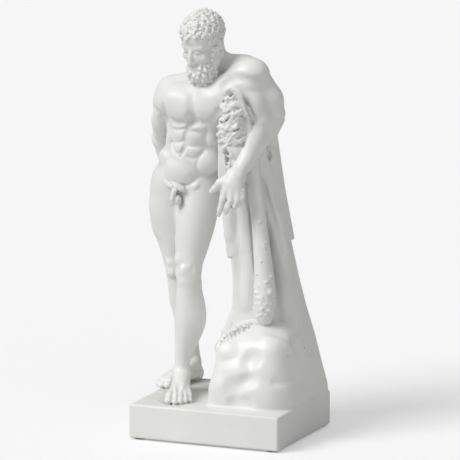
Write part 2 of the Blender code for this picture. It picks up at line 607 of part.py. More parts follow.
skin_strokes = [
    ([(33, 0, 319), (36, 10, 298), (39, 18, 277), (43, 19, 267), (48, 20, 250), (54, 19, 233)], 5.5, -4.0),
    ([(22, -2, 296), (22, 2, 278), (24, 1, 254), (25, 1, 235), (27, 3, 216)], 4.5, -3.5),
    ([(1, -14, 334), (2, -13, 320)], 5.5, -6.0),
    ([(8, 3, 255), (8, 3, 235)], 8, -2.2), ([(8, 4, 215), (8, 5, 185)], 7, -2.0),
    ([(66, 20, 170), (68, 18, 130)], 9, -3.0),
]


def outer_shell(mesh):
    # what hangs together with the highest point; sealed bubbles inside go
    work = bmesh.new()
    work.from_mesh(mesh)
    top = max(work.verts, key=lambda vert: vert.co.z)
    kept = {top}
    ring = [top]
    while ring:
        ring = [edge.other_vert(vert) for vert in ring for edge in vert.link_edges]
        ring = [vert for vert in set(ring) if vert not in kept]
        kept.update(ring)
    lost = [vert for vert in work.verts if vert not in kept]
    bmesh.ops.delete(work, geom=lost, context='VERTS')
    work.to_mesh(mesh)
    work.free()


def carving():
    # the whole free form: soft flesh first, then the crisp parts, then everything as one skin
    flesh = bmesh.new()
    torso(flesh)
    left_arm(flesh)
    right_arm(flesh)
    neck(flesh)
    leg(flesh, "right", -1, -14)
    rod(flesh, (-96.5, 28, 276), (-98.5, 34, 228), 15.3, 13.8, 3)
    rod(flesh, (-103, 38, 236), (-92, 42, 190), 13.4, 10.4)
    leg(flesh, "left", 1, -2)
    flesh_mesh = fused([flesh], 9)
    carve(flesh_mesh, body_strokes)

    stone = bmesh.new()
    slab_and_rock(stone)
    lion_skin(stone)
    club(stone)
    stone_mesh = fused([stone], 3)
    carve(stone_mesh, skin_strokes + rock_strokes)

    crisp = bmesh.new()
    head(crisp)
    left_hand(crisp)
    right_hand(crisp)
    foot(crisp, "left", 1, (-39, -65), 9)
    foot(crisp, "right", -1, (-95, 9), 5.5)
    loins(crisp)
    mane_locks(crisp)
    mesh = fused([flesh_mesh, stone_mesh, crisp], 1)
    outer_shell(mesh)
    return mesh


def cast_material(name, colour, roughness):
    material = bpy.data.materials.new(name)
    material.use_nodes = True
    shader = material.node_tree.nodes["Principled BSDF"]
    shader.inputs["Base Color"].default_value = (*colour, 1.0)
    shader.inputs["Roughness"].default_value = roughness
    shader.inputs["Metallic"].default_value = 0.0
    return material


def plinth_block():
    # a box with softened edges
    work = bmesh.new()
    size = Matrix.Diagonal((plinth_width, plinth_depth, plinth_height, 1))
    place = Matrix.Translation((0, 0, plinth_low + plinth_height / 2))
    bmesh.ops.create_cube(work, size=1, matrix=place @ size)
    bmesh.ops.bevel(work, geom=work.edges[:], offset=plinth_round, segments=2, profile=0.5, affect='EDGES')
    mesh = bpy.data.meshes.new("statue")
    work.to_mesh(mesh)
    work.free()
    return mesh


def statue():
    figure = add_object("carving", carving())
    faces = sum(len(face.vertices) - 2 for face in figure.data.polygons)
    thin = figure.modifiers.new("thin", 'DECIMATE')
    thin.ratio = min(carving_triangles / faces, 1)
    figure = add_object("carving", evaluated(figure))
    figure.hide_render = True
    figure.display_type = 'WIRE'

    casting = add_object("statue", plinth_block())
    union = casting.modifiers.new("figure", 'BOOLEAN')
    union.operation = 'UNION'
    union.solver = 'EXACT'
    union.object = figure
    casting.data.materials.append(cast_material("off white cast", (0.80, 0.80, 0.77), 0.42))
    return [casting, figure]


def pads():
    felt = cast_material("grey felt", (0.32, 0.31, 0.29), 0.95)
    across = plinth_width / 2 - pad_inset
    deep = plinth_depth / 2 - pad_inset
    made = []
    for name, x, y in (("front_left", -across, -deep), ("front_right", across, -deep),
                       ("back_left", -across, deep), ("back_right", across, deep)):
        work = bmesh.new()
        bmesh.ops.create_cone(work, cap_ends=True, segments=32, radius1=pad_diameter / 2,
                              radius2=pad_diameter / 2, depth=pad_thickness)
        mesh = bpy.data.meshes.new("corner_pad_" + name)
        work.to_mesh(mesh)
        work.free()
        pad = add_object("corner_pad_" + name, mesh)
        pad.location = (x, y, pad_thickness / 2)
        mesh.materials.append(felt)
        made.append(pad)
    return made


def centre_over_origin(pieces):
    # the figure leans out past the plinth, so the middle of the whole lies beside the plinth's middle
    corners = [piece.location + Vector(corner) for piece in pieces for corner in piece.bound_box]
    for axis in (0, 1):
        side = [corner[axis] for corner in corners]
        middle = (min(side) + max(side)) / 2
        for piece in pieces:
            piece.location[axis] -= middle


for old in list(bpy.data.objects):
    bpy.data.objects.remove(old)
centre_over_origin(statue() + pads())
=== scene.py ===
# An off-white cast of a resting hero with club, lion skin, rock and slab, on a plinth with four felt pads.
# The carving is drawn in millimetres from the plinth's middle: X to the viewer's right, Y to the back, Z up.

import bpy
import numpy as np
from mathutils import Matrix, Vector


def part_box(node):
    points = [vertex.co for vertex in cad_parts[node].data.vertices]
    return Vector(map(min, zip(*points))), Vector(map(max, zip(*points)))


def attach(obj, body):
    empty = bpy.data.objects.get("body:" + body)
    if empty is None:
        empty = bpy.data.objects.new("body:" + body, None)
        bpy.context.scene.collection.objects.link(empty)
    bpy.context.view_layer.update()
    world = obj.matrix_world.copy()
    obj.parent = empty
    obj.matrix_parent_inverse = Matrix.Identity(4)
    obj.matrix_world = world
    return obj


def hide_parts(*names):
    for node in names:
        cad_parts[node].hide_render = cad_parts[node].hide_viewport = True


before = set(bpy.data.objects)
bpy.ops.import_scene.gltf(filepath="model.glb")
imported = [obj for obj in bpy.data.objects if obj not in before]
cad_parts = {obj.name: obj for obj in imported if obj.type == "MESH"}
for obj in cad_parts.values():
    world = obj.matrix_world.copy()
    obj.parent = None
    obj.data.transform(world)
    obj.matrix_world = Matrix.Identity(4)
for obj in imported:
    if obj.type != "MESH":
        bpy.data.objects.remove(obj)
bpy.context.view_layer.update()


# Small helpers

def vec(*numbers):
    return np.array(numbers, float)


def unit(direction):
    direction = np.asarray(direction, float)
    return direction / np.linalg.norm(direction)


def softMin(a, b, blend):
    # the smaller of two depths, rounded over where they are within blend of each other
    if blend <= 0:
        return np.minimum(a, b)
    overlap = np.maximum(blend - np.abs(a - b), 0) / blend
    return np.minimum(a, b) - overlap * overlap * blend * 0.25


def softMax(a, b, blend):
    return -softMin(-a, -b, blend)


def turned(yaw=0, pitch=0, roll=0):
    # axes turned about Z, then about their own X, then about their own Y, in degrees: one axis to a column
    y, p, r = np.radians([yaw, pitch, roll])
    aboutZ = np.array([[np.cos(y), -np.sin(y), 0], [np.sin(y), np.cos(y), 0], [0, 0, 1]])
    aboutX = np.array([[1, 0, 0], [0, np.cos(p), -np.sin(p)], [0, np.sin(p), np.cos(p)]])
    aboutY = np.array([[np.cos(r), 0, np.sin(r)], [0, 1, 0], [-np.sin(r), 0, np.cos(r)]])
    return aboutZ @ aboutX @ aboutY


def smoothPath(points, steps):
    # Catmull-Rom: a cubic between each two points that passes through all of them
    p = np.asarray(points, float)
    p = np.concatenate([[2 * p[0] - p[1]], p, [2 * p[-1] - p[-2]]])
    spans = len(p) - 3
    along = np.linspace(0, spans, steps + 1)
    i = np.minimum(along.astype(int), spans - 1)
    t = (along - i)[:, None]
    a, b, c, d = p[i], p[i + 1], p[i + 2], p[i + 3]
    square, cube = 2 * a - 5 * b + 4 * c - d, 3 * b - a - 3 * c + d
    return 0.5 * (2 * b + (c - a) * t + square * t ** 2 + cube * t ** 3)


# Clay

class Clay:
    # a block of depths on a regular grid, in millimetres: negative inside the clay, positive outside it
    farOff = 60.0

    def __init__(self, low, high, step):
        self.step = step
        self.low = np.floor(np.asarray(low, float) / step).astype(int)
        self.size = np.ceil(np.asarray(high, float) / step).astype(int) - self.low + 1
        self.depth = np.full(self.size, self.farOff, np.float32)

    def fresh(self, low, high):
        return Clay(low, high, self.step)

    def window(self, low, high, pad):
        first = np.clip(np.floor((np.asarray(low) - pad) / self.step).astype(int) - self.low, 0, self.size)
        last = np.clip(np.ceil((np.asarray(high) + pad) / self.step).astype(int) + 1 - self.low, 0, self.size)
        last = np.maximum(last, first)
        cut = tuple(slice(a, b) for a, b in zip(first, last))
        spans = zip(first, last, self.low)
        x, y, z = (((np.arange(a, b) + l) * self.step).astype(np.float32) for a, b, l in spans)
        return cut, x[:, None, None], y[None, :, None], z[None, None, :]

    def add(self, form, blend=0.0):
        low, high, depthOf = form
        cut, x, y, z = self.window(low, high, blend + 3 * self.step)
        if self.depth[cut].size:
            self.depth[cut] = softMin(self.depth[cut], depthOf(x, y, z), blend)

    def cut(self, form, blend=0.0):
        low, high, depthOf = form
        cut, x, y, z = self.window(low, high, blend + 3 * self.step)
        if self.depth[cut].size:
            self.depth[cut] = softMax(self.depth[cut], -depthOf(x, y, z), blend)

    def shared(self, other):
        low = np.maximum(self.low, other.low)
        high = np.minimum(self.low + self.size, other.low + other.size)
        mine = tuple(slice(p - q, r - q) for p, q, r in zip(low, self.low, high))
        theirs = tuple(slice(p - q, r - q) for p, q, r in zip(low, other.low, high))
        return mine, theirs

    def join(self, other, blend=0.0):
        mine, theirs = self.shared(other)
        self.depth[mine] = softMin(self.depth[mine], other.depth[theirs], blend)

    def carve(self, other, blend=0.0):
        mine, theirs = self.shared(other)
        self.depth[mine] = softMax(self.depth[mine], -other.depth[theirs], blend)

    def read(self, points):
        # depths at any points, weighed between the eight grid points round each
        q = np.asarray(points, float) / self.step - self.low
        q = np.clip(q, 0, self.size - 1.001)
        i = q.astype(int)
        t = q - i
        total = 0
        for dx in (0, 1):
            for dy in (0, 1):
                for dz in (0, 1):
                    near = np.abs(1 - vec(dx, dy, dz) - t)
                    share = near[..., 0] * near[..., 1] * near[..., 2]
                    total = total + share * self.depth[i[..., 0] + dx, i[..., 1] + dy, i[..., 2] + dz]
        return total

    def outward(self, points, reach=2.0):
        # the way out of the clay: the slope of the depth over twice the reach
        points = np.asarray(points, float)
        slope = np.stack([self.read(points + d) - self.read(points - d) for d in np.eye(3) * reach], -1)
        return slope / np.maximum(np.linalg.norm(slope, axis=-1, keepdims=True), 1e-6)

    def onto(self, points, reach=2.0):
        # slides points to the surface nearest by
        points = np.asarray(points, float).copy()
        for k in range(5):
            gap = np.clip(self.read(points), -5, 5)[..., None]
            points = points - self.outward(points, reach) * gap * 0.9
        return points, self.outward(points, 3.0)


# Forms: each gives its lowest and highest corner and the depth at x, y, z

def inAxes(centre, axes, x, y, z):
    dx, dy, dz = x - np.float32(centre[0]), y - np.float32(centre[1]), z - np.float32(centre[2])
    m = np.asarray(axes, np.float32)
    return [dx * m[0, i] + dy * m[1, i] + dz * m[2, i] for i in range(3)]


def egg(centre, radii, axes=None):
    # an ellipsoid: its scaled radius less one, over the slope of that radius
    centre, r = np.asarray(centre, float), np.asarray(radii, float)
    m = np.eye(3) if axes is None else axes
    half = np.sqrt(((m * r) ** 2).sum(1))

    def depthOf(x, y, z):
        u, v, w = inAxes(centre, m, x, y, z)
        k0 = np.sqrt((u / r[0]) ** 2 + (v / r[1]) ** 2 + (w / r[2]) ** 2)
        k1 = np.sqrt((u / r[0] ** 2) ** 2 + (v / r[1] ** 2) ** 2 + (w / r[2] ** 2) ** 2)
        return (k0 * (k0 - 1) / np.maximum(k1, 1e-4)).astype(np.float32)
    return centre - half, centre + half, depthOf


def rod(start, end, thick0, thick1, belly=0.0, flat=1.0, side=(1, 0, 0)):
    # a rod with round ends: the distance to its middle line less its radius, which runs from thick0
    # to thick1, swells by belly at its middle and is flat times wider along side
    a, b = np.asarray(start, float), np.asarray(end, float)
    ab = b - a
    square = max(ab @ ab, 1e-6)
    s = np.asarray(side, float)
    s = unit(s - ab * (s @ ab) / square) if flat != 1.0 else s
    big = (max(thick0, thick1) + belly) * max(flat, 1.0)

    def depthOf(x, y, z):
        dx, dy, dz = x - np.float32(a[0]), y - np.float32(a[1]), z - np.float32(a[2])
        t = np.clip((dx * ab[0] + dy * ab[1] + dz * ab[2]) / square, 0, 1)
        qx, qy, qz = dx - t * ab[0], dy - t * ab[1], dz - t * ab[2]
        gap = qx * qx + qy * qy + qz * qz
        if flat != 1.0:
            across = qx * s[0] + qy * s[1] + qz * s[2]
            gap = gap - across * across * (1 - 1 / flat ** 2)
        radius = thick0 + (thick1 - thick0) * t
        if belly:
            radius = radius + belly * np.maximum(np.sin(np.pi * t), 0) ** 1.5
        return (np.sqrt(np.maximum(gap, 0)) - radius).astype(np.float32)
    return np.minimum(a, b) - big, np.maximum(a, b) + big, depthOf


def boxDepth(qx, qy, qz, rounded):
    outside = np.sqrt(np.maximum(qx, 0) ** 2 + np.maximum(qy, 0) ** 2 + np.maximum(qz, 0) ** 2)
    return (outside + np.minimum(np.maximum(np.maximum(qx, qy), qz), 0) - rounded).astype(np.float32)


def block(low, high, rounded):
    # a box with rounded edges
    low, high = np.asarray(low, float), np.asarray(high, float)
    middle, half = (low + high) / 2, (high - low) / 2 - rounded

    def depthOf(x, y, z):
        return boxDepth(*(np.abs(v - m) - h for v, m, h in zip((x, y, z), middle, half)), rounded)
    return low, high, depthOf


def post(levels, rounded, smooth=False):
    # a rectangle whose sides are read by height from levels of (z, x0, x1, y0, y1), with rounded edges
    levels = np.array(levels, float)
    low = vec(levels[:, 1].min(), levels[:, 3].min(), levels[0, 0])
    high = vec(levels[:, 2].max(), levels[:, 4].max(), levels[-1, 0])
    fine = smoothPath(levels, 10 * (len(levels) - 1)) if smooth else levels

    def depthOf(x, y, z):
        held = np.clip(z, levels[0, 0], levels[-1, 0])
        x0, x1, y0, y1 = (np.interp(held, fine[:, 0], fine[:, i]) for i in (1, 2, 3, 4))
        qx = np.abs(x - (x0 + x1) / 2) - ((x1 - x0) / 2 - rounded)
        qy = np.abs(y - (y0 + y1) / 2) - ((y1 - y0) / 2 - rounded)
        qz = np.abs(z - (levels[0, 0] + levels[-1, 0]) / 2) - ((levels[-1, 0] - levels[0, 0]) / 2 - rounded)
        return boxDepth(qx, qy, qz, rounded)
    return low, high, depthOf


def trunkOf(levels, soft=6.0):
    # ellipses on a smooth path through levels of (z, centre x, centre y, half width, half depth)
    levels = np.array(levels, float)
    fine = smoothPath(levels, 12 * (len(levels) - 1))
    z0, z1 = levels[0, 0], levels[-1, 0]
    low = vec((levels[:, 1] - levels[:, 3]).min(), (levels[:, 2] - levels[:, 4]).min(), z0)
    high = vec((levels[:, 1] + levels[:, 3]).max(), (levels[:, 2] + levels[:, 4]).max(), z1)

    def depthOf(x, y, z):
        held = np.clip(z, z0, z1)
        cx, cy, rx, ry = (np.interp(held, fine[:, 0], fine[:, i]).astype(np.float32) for i in (1, 2, 3, 4))
        dx, dy = x - cx, y - cy
        k0 = np.sqrt((dx / rx) ** 2 + (dy / ry) ** 2)
        k1 = np.sqrt((dx / rx ** 2) ** 2 + (dy / ry ** 2) ** 2)
        wall = k0 * (k0 - 1) / np.maximum(k1, 1e-4)
        return softMax(softMax(wall, z0 - z + 0 * wall, soft), z - z1 + 0 * wall, soft)
    return low, high, depthOf


# Strokes on the clay

def rope(clay, points, radii, steps=None, flat=1.0, side=(1, 0, 0)):
    # a separate bit of clay: rods along a smooth path, their radii read along it
    steps = steps or 4 * (len(points) - 1)
    path = smoothPath(points, steps)
    radius = np.interp(np.linspace(0, 1, steps + 1), np.linspace(0, 1, len(radii)), radii)
    reach = max(radius) * flat + 4
    part = clay.fresh(path.min(0) - reach - 6, path.max(0) + reach + 6)
    for i in range(steps):
        part.add(rod(path[i], path[i + 1], radius[i], radius[i + 1], flat=flat, side=side))
    return part


def chain(clay, points, radii, blend):
    for a, b, r0, r1 in zip(points, points[1:], radii, radii[1:]):
        clay.add(rod(a, b, r0, r1), blend)


def alongSurface(clay, points, rise, half, way):
    # a rod that passes the surface by rise, from outside where way is 1, and meets it half to each side, so
    # its radius is half squared plus rise squared over twice rise
    r = (half * half + rise * rise) / (2 * rise)
    places, out = clay.onto(np.array(points, float))
    return rope(clay, places + way * out * (r - rise), [r], 3 * (len(points) - 1))


def crease(clay, points, deep, half, blend=3.0):
    # a soft channel of that depth and half width
    clay.carve(alongSurface(clay, points, deep, half, 1), blend)


def ridge(clay, points, high, half, blend=3.0):
    # a soft ridge of that height and half width
    clay.join(alongSurface(clay, points, high, half, -1), blend)


def facing(out, turn):
    # axes with the third along out, and the first level and then turned about out by so many degrees
    level = np.cross((0, 0, 1.0), out)
    level = unit(level) if np.linalg.norm(level) > 1e-3 else vec(1, 0, 0)
    steep = np.cross(out, level)
    a = np.radians(turn)
    return np.stack([level * np.cos(a) + steep * np.sin(a), steep * np.cos(a) - level * np.sin(a), out], 1)


def eggAtSurface(clay, place, wide, tall, rise, way, turn, thick):
    # an egg that passes the surface by rise, from outside where way is 1; unless given, it is 0.7 as thick as
    # it is wide or tall
    place, out = clay.onto(np.array(place, float))
    thick = thick or min(wide, tall) * 0.7
    return egg(place + way * out * (thick - rise), (wide, tall, thick), facing(out, turn))


def swell(clay, place, wide, tall, rise, blend=3.0, turn=0.0, thick=None):
    # a mound that stands rise above the surface
    clay.add(eggAtSurface(clay, place, wide, tall, rise, -1, turn, thick), blend)


def dent(clay, place, wide, tall, deep, blend=3.0, turn=0.0, thick=None):
    # a hollow that goes deep below the surface
    clay.cut(eggAtSurface(clay, place, wide, tall, deep, 1, turn, thick), blend)


# The figure

rooms = {
    # the lowest and highest corner of the grid that each mass is made on before it is joined to the rest
    "all": ((-135, -84, -4), (100, 108, 506)), "body": ((-135, -84, 30), (80, 108, 506)),
    "leg": ((-135, -84, 30), (0, 108, 330)), "feet": ((-135, -84, 30), (0, 108, 100)),
    "arm": ((-135, -60, 240), (80, 108, 450)), "skull": ((-80, -50, 400), (0, 60, 506)),
    "rock": ((-40, -75, 20), (105, 60, 150)), "skin": ((-40, -45, 80), (95, 95, 430)),
    "club": ((0, -40, 110), (80, 50, 420)),
}


pose = {
    # places of the joints, the head's turn, tip and lean in degrees, and the height of the plinth's top
    "neck": vec(-37, 36, 414), "head": vec(-38, 5, 458), "headTurn": (-17, 28, 0),
    "rightShoulder": vec(-89, 27, 385), "rightElbow": vec(-110, 57, 331), "rightWrist": vec(-92, 80, 287),
    "leftShoulder": vec(14, 22, 419), "leftElbow": vec(35, 27, 363), "leftWrist": vec(16, -20, 306),
    "rightHip": vec(-87.5, 31, 286), "rightKnee": vec(-84, 40, 187), "rightAnkle": vec(-75, 63, 64),
    "leftHip": vec(-50, 33, 292), "leftKnee": vec(-55, 5, 186), "leftAnkle": vec(-61, -1, 64),
    "ground": 39.5,
}


def torso(clay):
    clay.add(trunkOf([
        (262, -70, 36, 36, 26), (280, -70.5, 35, 38.5, 32), (297, -68, 33, 36.5, 33),
        (311, -62, 31, 34.5, 31), (325, -57.5, 30, 32.5, 29.5), (340, -54, 30, 33, 29.5),
        (356, -49.5, 30, 38, 32), (372, -46, 30, 45.5, 35), (388, -43, 31, 47, 34),
        (402, -40, 33, 40, 27), (416, -37, 36, 24, 20)]))
    clay.add(egg((-78, 36, 366), (13, 20, 34), turned(0, 0, 12)), 8)
    clay.add(egg((-9, 36, 372), (13, 20, 36), turned(0, 0, 4)), 8)
    # shoulders and the slopes of the neck
    clay.add(rod((-37, 40, 410), (-84, 30, 394), 15, 11.5), 10)
    clay.add(rod((-37, 42, 408), (6, 30, 428), 15, 11), 10)
    clay.add(rod((-32, 38, 428), (6, 29, 427), 12.5, 13.5), 8)
    # chest
    for side, x, z, yaw, roll in ((-1, -64.5, 382, -20, 6), (1, -24, 385, 14, -4)):
        clay.add(egg((x, 4.5, z), (26, 13, 19), turned(yaw, 8, roll)), 7)
        clay.add(egg((x + side * 2, 1.2, z - 5.5), (20.5, 9.5, 12.5), turned(yaw, 10, roll)), 5)
    clay.add(rod((-72, 6, 388), (-90, 19, 382), 13, 12), 8)
    clay.add(rod((-16, 5, 393), (10, 14, 411), 13, 12), 8)
    clay.add(rod((-40, 7, 399), (-82, 16, 395), 9, 9), 10)
    clay.add(rod((-33, 8, 401), (5, 16, 420), 9, 9), 10)
    # flanks
    for centre, radii, turn in (
            ((-86, 26, 315), (13, 19, 13), (-6, 0, 16)), ((-37, 18, 315), (15, 15, 15), (20, 0, -10)),
            ((-33, 32, 318), (12, 19, 15), (0, 0, -12)), ((-33, 28, 345), (11, 20, 20), (10, 0, -20)),
            ((-79, 28, 338), (9, 18, 19), (-10, 0, 10))):
        clay.add(egg(centre, radii, turned(*turn)), 7)


def back(clay):
    for side in (-1, 1):
        clay.add(rod((-45 + side * 10, 57, 372), (-66 + side * 9, 56, 312), 8.5, 8.5, belly=2.5), 8)
        clay.add(egg((-43 + side * 27, 56, 388 + side * 5), (19, 8, 21),
                turned(-side * 10, 0, -side * 14)), 8)
        clay.add(egg((-43 + side * 38, 48, 366 + side * 5), (14, 13, 24),
                turned(-side * 20, 0, side * 14)), 8)
    clay.add(egg((-90, 54, 288), (21, 19, 22), turned(0, 0, 6)), 5)
    clay.add(egg((-53, 54, 282), (21, 19, 22), turned(0, 0, -4)), 5)
    for x, z, r in ((-92, 303, 14), (-44, 302, 15)):
        clay.add(egg((x, 44, z), (r, 17, r)), 8)
    crease(clay, [(-38, 62, 404), (-43, 66, 385), (-50, 63, 360), (-58, 62, 335), (-66, 66, 310)], 3.5, 7, 6)
    crease(clay, [(-71, 72, 300), (-72, 74, 288), (-71, 66, 272)], 5, 5, 3)


bellyLook = {
    # pads: place, half width, half height, how proud, turn; creases: depth, half width, blend and their path
    "pads": [
        ((-65, 0, 357.5), 10.5, 3.6, 1.5, 8), ((-40, -1, 357.5), 9.5, 4.4, 1.7, -18),
        ((-65.5, 0, 346), 8.8, 6.8, 2.0, 2), ((-43.5, 0, 343.5), 10, 9.2, 2.2, -8),
        ((-66, 1, 331), 7.4, 6.0, 1.6, 0), ((-46, 2, 328), 9.8, 6.8, 1.6, -6),
        ((-25, 6, 343), 7.5, 9.5, 2.2, 10), ((-29, 6, 314), 12.5, 14, 1.0, 12),
        ((-67, -2, 304), 18, 13, 1.5, -6)],
    "creases": [
        (1.8, 3.4, 2.5, [(-82, -1, 381), (-80, 4, 369), (-71, 3, 363), (-60, -2, 365), (-51, 0, 367),
                (-46, 2, 366)]),
        (1.8, 3.4, 2.5, [(-46, 2, 366), (-37, 0, 365), (-27, 0, 367), (-17, -5, 374), (-12, -6, 381)]),
        (1.4, 3.8, 4.5, [(-41, -2, 404), (-42, -7, 394), (-43, -9, 385), (-44, -7, 376), (-46, 1, 366)]),
        (0.8, 1.6, 1.3, [(-77, 9, 350), (-66, 2, 352), (-56, -1, 355)]),
        (1.0, 1.6, 1.3, [(-77, 9, 335), (-66, 2, 337), (-58, 2, 340)]),
        (1.0, 1.7, 1.5, [(-74, 5, 328), (-71, 3, 325), (-66, 2, 323.5), (-60, 3, 325)]),
        (0.7, 1.6, 1.3, [(-54, 1, 351), (-46, 1, 352), (-37, 2, 353), (-32, 4, 356)]),
        (0.9, 1.6, 1.3, [(-54, 2, 334), (-44, 2, 333.5), (-35, 8, 336)]),
        (0.8, 1.8, 1.5, [(-54, 1, 321), (-46, 3, 319.5), (-40, 7, 323)]),
        (1.3, 2.4, 2.0, [(-49, 1, 363), (-54, 0, 353), (-57, 1, 343), (-57, 2, 334), (-61, 2, 326)]),
        (1.3, 2.2, 1.8, [(-32, 3, 355), (-33, 6, 343), (-36, 9, 335)]),
        (0.8, 2.0, 2.0, [(-76, 9, 353), (-77, 9, 344), (-77, 9, 335), (-74, 5, 328)]),
        (1.0, 2.0, 1.8, [(-22, 17, 333), (-30, 10, 332), (-36, 9, 329), (-40, 6, 319), (-43, 5, 309),
                (-44, 9, 300)]),
        (1.5, 2.2, 1.8, [(-25, 28, 298), (-30, 24, 297), (-36, 16, 296.5), (-43, 11, 297), (-53, 6, 289),
                         (-60, 3, 285)]),
        (1.3, 2.4, 2.4, [(-91, 9, 318), (-88, 7, 306), (-86, 6, 297), (-81, 4, 290), (-70, 0, 287.5),
                (-60, 3, 285.5)])],
}


def bellyAndChestLines(clay):
    for place, wide, tall, rise, turn in bellyLook["pads"]:
        swell(clay, place, wide, tall, rise, 3.0, turn)
    for deep, half, blend, path in bellyLook["creases"]:
        crease(clay, path, deep, half, blend)
    dent(clay, (-63, 2, 320.5), 2.2, 1.8, 1.8, 1.0, thick=2.5)
    dent(clay, (-77, 9, 336), 1.6, 2.0, 1.2, 1.0)
    swell(clay, (-46, 5, 286), 4.8, 3.0, 1.6, 2.4, 35)


legLook = {
    # knee: half width; calf muscles: how far out, how far down and the radius at the top, the same at the
    # bottom, and the belly; tendon: radius at its top
    "right": {
        "knee": 13, "tendon": 5.6,
        "outer": (5, 14, 9.5, 4.5, 84, 6, 6.2), "inner": (5, 12, 10, 4, 88, 6, 5.5),
    },
    "left": {
        "knee": 14.5, "tendon": 5.4,
        "outer": (8, 16, 8, 5, 100, 6.5, 9.5), "inner": (4, 12, 8.5, 4, 92, 5, 3),
    },
}


def leg(clay, name, side, facingAngle):
    hip, knee, ankle = (pose[name + joint] for joint in ("Hip", "Knee", "Ankle"))
    look = legLook[name]
    a = np.radians(facingAngle)
    front, out, up = vec(np.sin(a), -np.cos(a), 0), vec(np.cos(a), np.sin(a), 0) * side, vec(0, 0, 1)
    down, low = unit(knee - hip), unit(ankle - knee)
    # thigh: bone, front, outer and inner muscles, and the two at the back
    clay.add(rod(hip, knee, 23.5, 13.0, belly=3.0))
    for start, end, r0, r1, belly, blend in (
            (hip + front * 7 + out * 2 + down * 6, knee + front * 4 + out - down * 16, 15, 9, 4, 6),
            (hip + out * 6 + down * 14, knee + out * 5 - down * 24, 16, 10, 4, 7),
            (hip - out * 5 + front * 5 + down * 48, knee - out * 7.5 + front * 3 - down * 12, 11, 8.5, 3, 5),
            (hip - out * 8 + down * 10, knee - out * 6 - down * 40, 17, 10, 2, 7),
            (hip - front * 12 + down * 12 + out * 4, knee - front * 8 + out * 5 - down * 2, 13, 6.5, 4, 6),
            (hip - front * 12 - out * 5 + down * 16, knee - front * 8 - out * 5 - down * 2, 13, 6.5, 4, 6)):
        clay.add(rod(start, end, r0, r1, belly), blend)
    # knee: joint, cap, the tendon under it and the two muscle ends above it
    for place, radii, blend in (
            (knee - up * 3, (look["knee"], 12.5, 15), 6), (knee + front * 9.8 + up * 1.5, (7.0, 6, 7.6), 1.4),
            (knee + front * 9 - up * 11, (6.6, 5.6, 6.6), 2.0),
            (knee + front * 6 - out * 8 + up * 12, (6, 6, 9), 4),
            (knee + front * 5 + out * 7.5 + up * 10, (5, 5, 9), 4)):
        clay.add(egg(place, radii), blend)
    for aside in (-1, 1):
        dent(clay, knee + front * 9 + out * aside * 9 + up * 2, 2.2, 6, 1.2, 2)
    # shin, the two calf muscles, the outer one, the heel's tendon and the ankle bones
    clay.add(rod(knee + low * 6, ankle, 12.5, 8.2, belly=1), 5)
    for way, back, muscle in ((1, 4, look["outer"]), (-1, 5, look["inner"])):
        out0, low0, r0, out1, low1, r1, belly = muscle
        clay.add(rod(knee - front * back + out * way * out0 + low * low0,
                     knee - front * 5 + out * way * out1 + low * low1, r0, r1, belly), 5)
    clay.add(rod(knee + out * 6 + front * 2 + low * 14, ankle + out * 2 + front * 3 - low * 28, 8, 5, 2.5), 6)
    clay.add(rod(ankle - front * 7 - low * 40, ankle - front * 8.5 + low * 4, look["tendon"], 4.4), 5)
    clay.add(egg(ankle + out * 6.0 - up, (3.8, 5, 5.5)), 3)
    clay.add(egg(ankle - out * 6.5 + up * 1.5, (4, 5, 5.5)), 3)


footLook = {
    # toes from the big one out: how far aside, how far forward as a share of the foot, radius
    "toes": ((-10.5, 0.98, 4.9), (-3.0, 1.0, 3.7), (2.8, 0.965, 3.5), (8.2, 0.9, 3.3), (13.0, 0.81, 3.1)),
}


def foot(clay, name, side, toes, heelBack):
    ankle = pose[name + "Ankle"]
    sole = vec(ankle[0], ankle[1], pose["ground"])
    ahead = vec(toes[0] - ankle[0], toes[1] - ankle[1], 0)
    length = np.linalg.norm(ahead)
    ahead = ahead / length
    across = vec(-ahead[1], ahead[0], 0)
    out, up = across * side, vec(0, 0, 1)
    heel = sole - ahead * heelBack
    clay.add(egg(heel + up * 8.4, (8.4, 9, 9)))
    clay.add(rod(heel + up * 10, ankle, 8.0, 8.2), 6)
    # instep, the outer and the inner edge of the sole
    clay.add(rod(ankle + ahead * 2 - up * 2, sole + ahead * length * 0.60 + up * 9, 8.6, 6.6, 0, 1.25,
            across), 6)
    clay.add(rod(sole + up * 6 + out * 3, sole + ahead * length * 0.58 + out * 8.5 + up * 5.5, 6.5, 5.6), 5)
    clay.add(rod(sole + ahead * 8 - out * 4 + up * 9, sole + ahead * length * 0.64 - out * 8 + up * 7,
            6.5, 6.6), 5)
    # each toe with its joint, its pad and its nail
    for aside, reach, r in footLook["toes"]:
        root = sole + ahead * length * (reach - 0.36) + out * aside * 0.80 + up * 9.0
        knuckle = sole + ahead * length * (reach - 0.14) + out * aside * 0.97 + up * (r + 4.4)
        tip = sole + ahead * (length * reach - r) + out * aside * 1.02 + up * (r + 0.1)
        clay.add(rod(root, knuckle, r + 0.6, r * 0.92), 2.0)
        clay.add(rod(knuckle, tip, r * 0.9, r * 0.96), 0.6)
        clay.add(egg(tip + ahead * r * 0.3, (r, r, r * 0.95)), 0.4)
        swell(clay, tip + ahead * r * 0.5 + up * r, r * 0.6, r * 0.62, 0.45, 0.2, thick=1.2)
    # sinews from the ankle to each toe
    for aside, reach, r in footLook["toes"]:
        knuckle = sole + ahead * length * (reach - 0.16) + out * aside * 0.95 + up * (r + 5.5)
        start = ankle + ahead * 7 + out * aside * 0.3 - up * 8
        ridge(clay, [start, (start + knuckle) / 2 + up * 1.0, knuckle], 0.7, 1.7, 2.0)


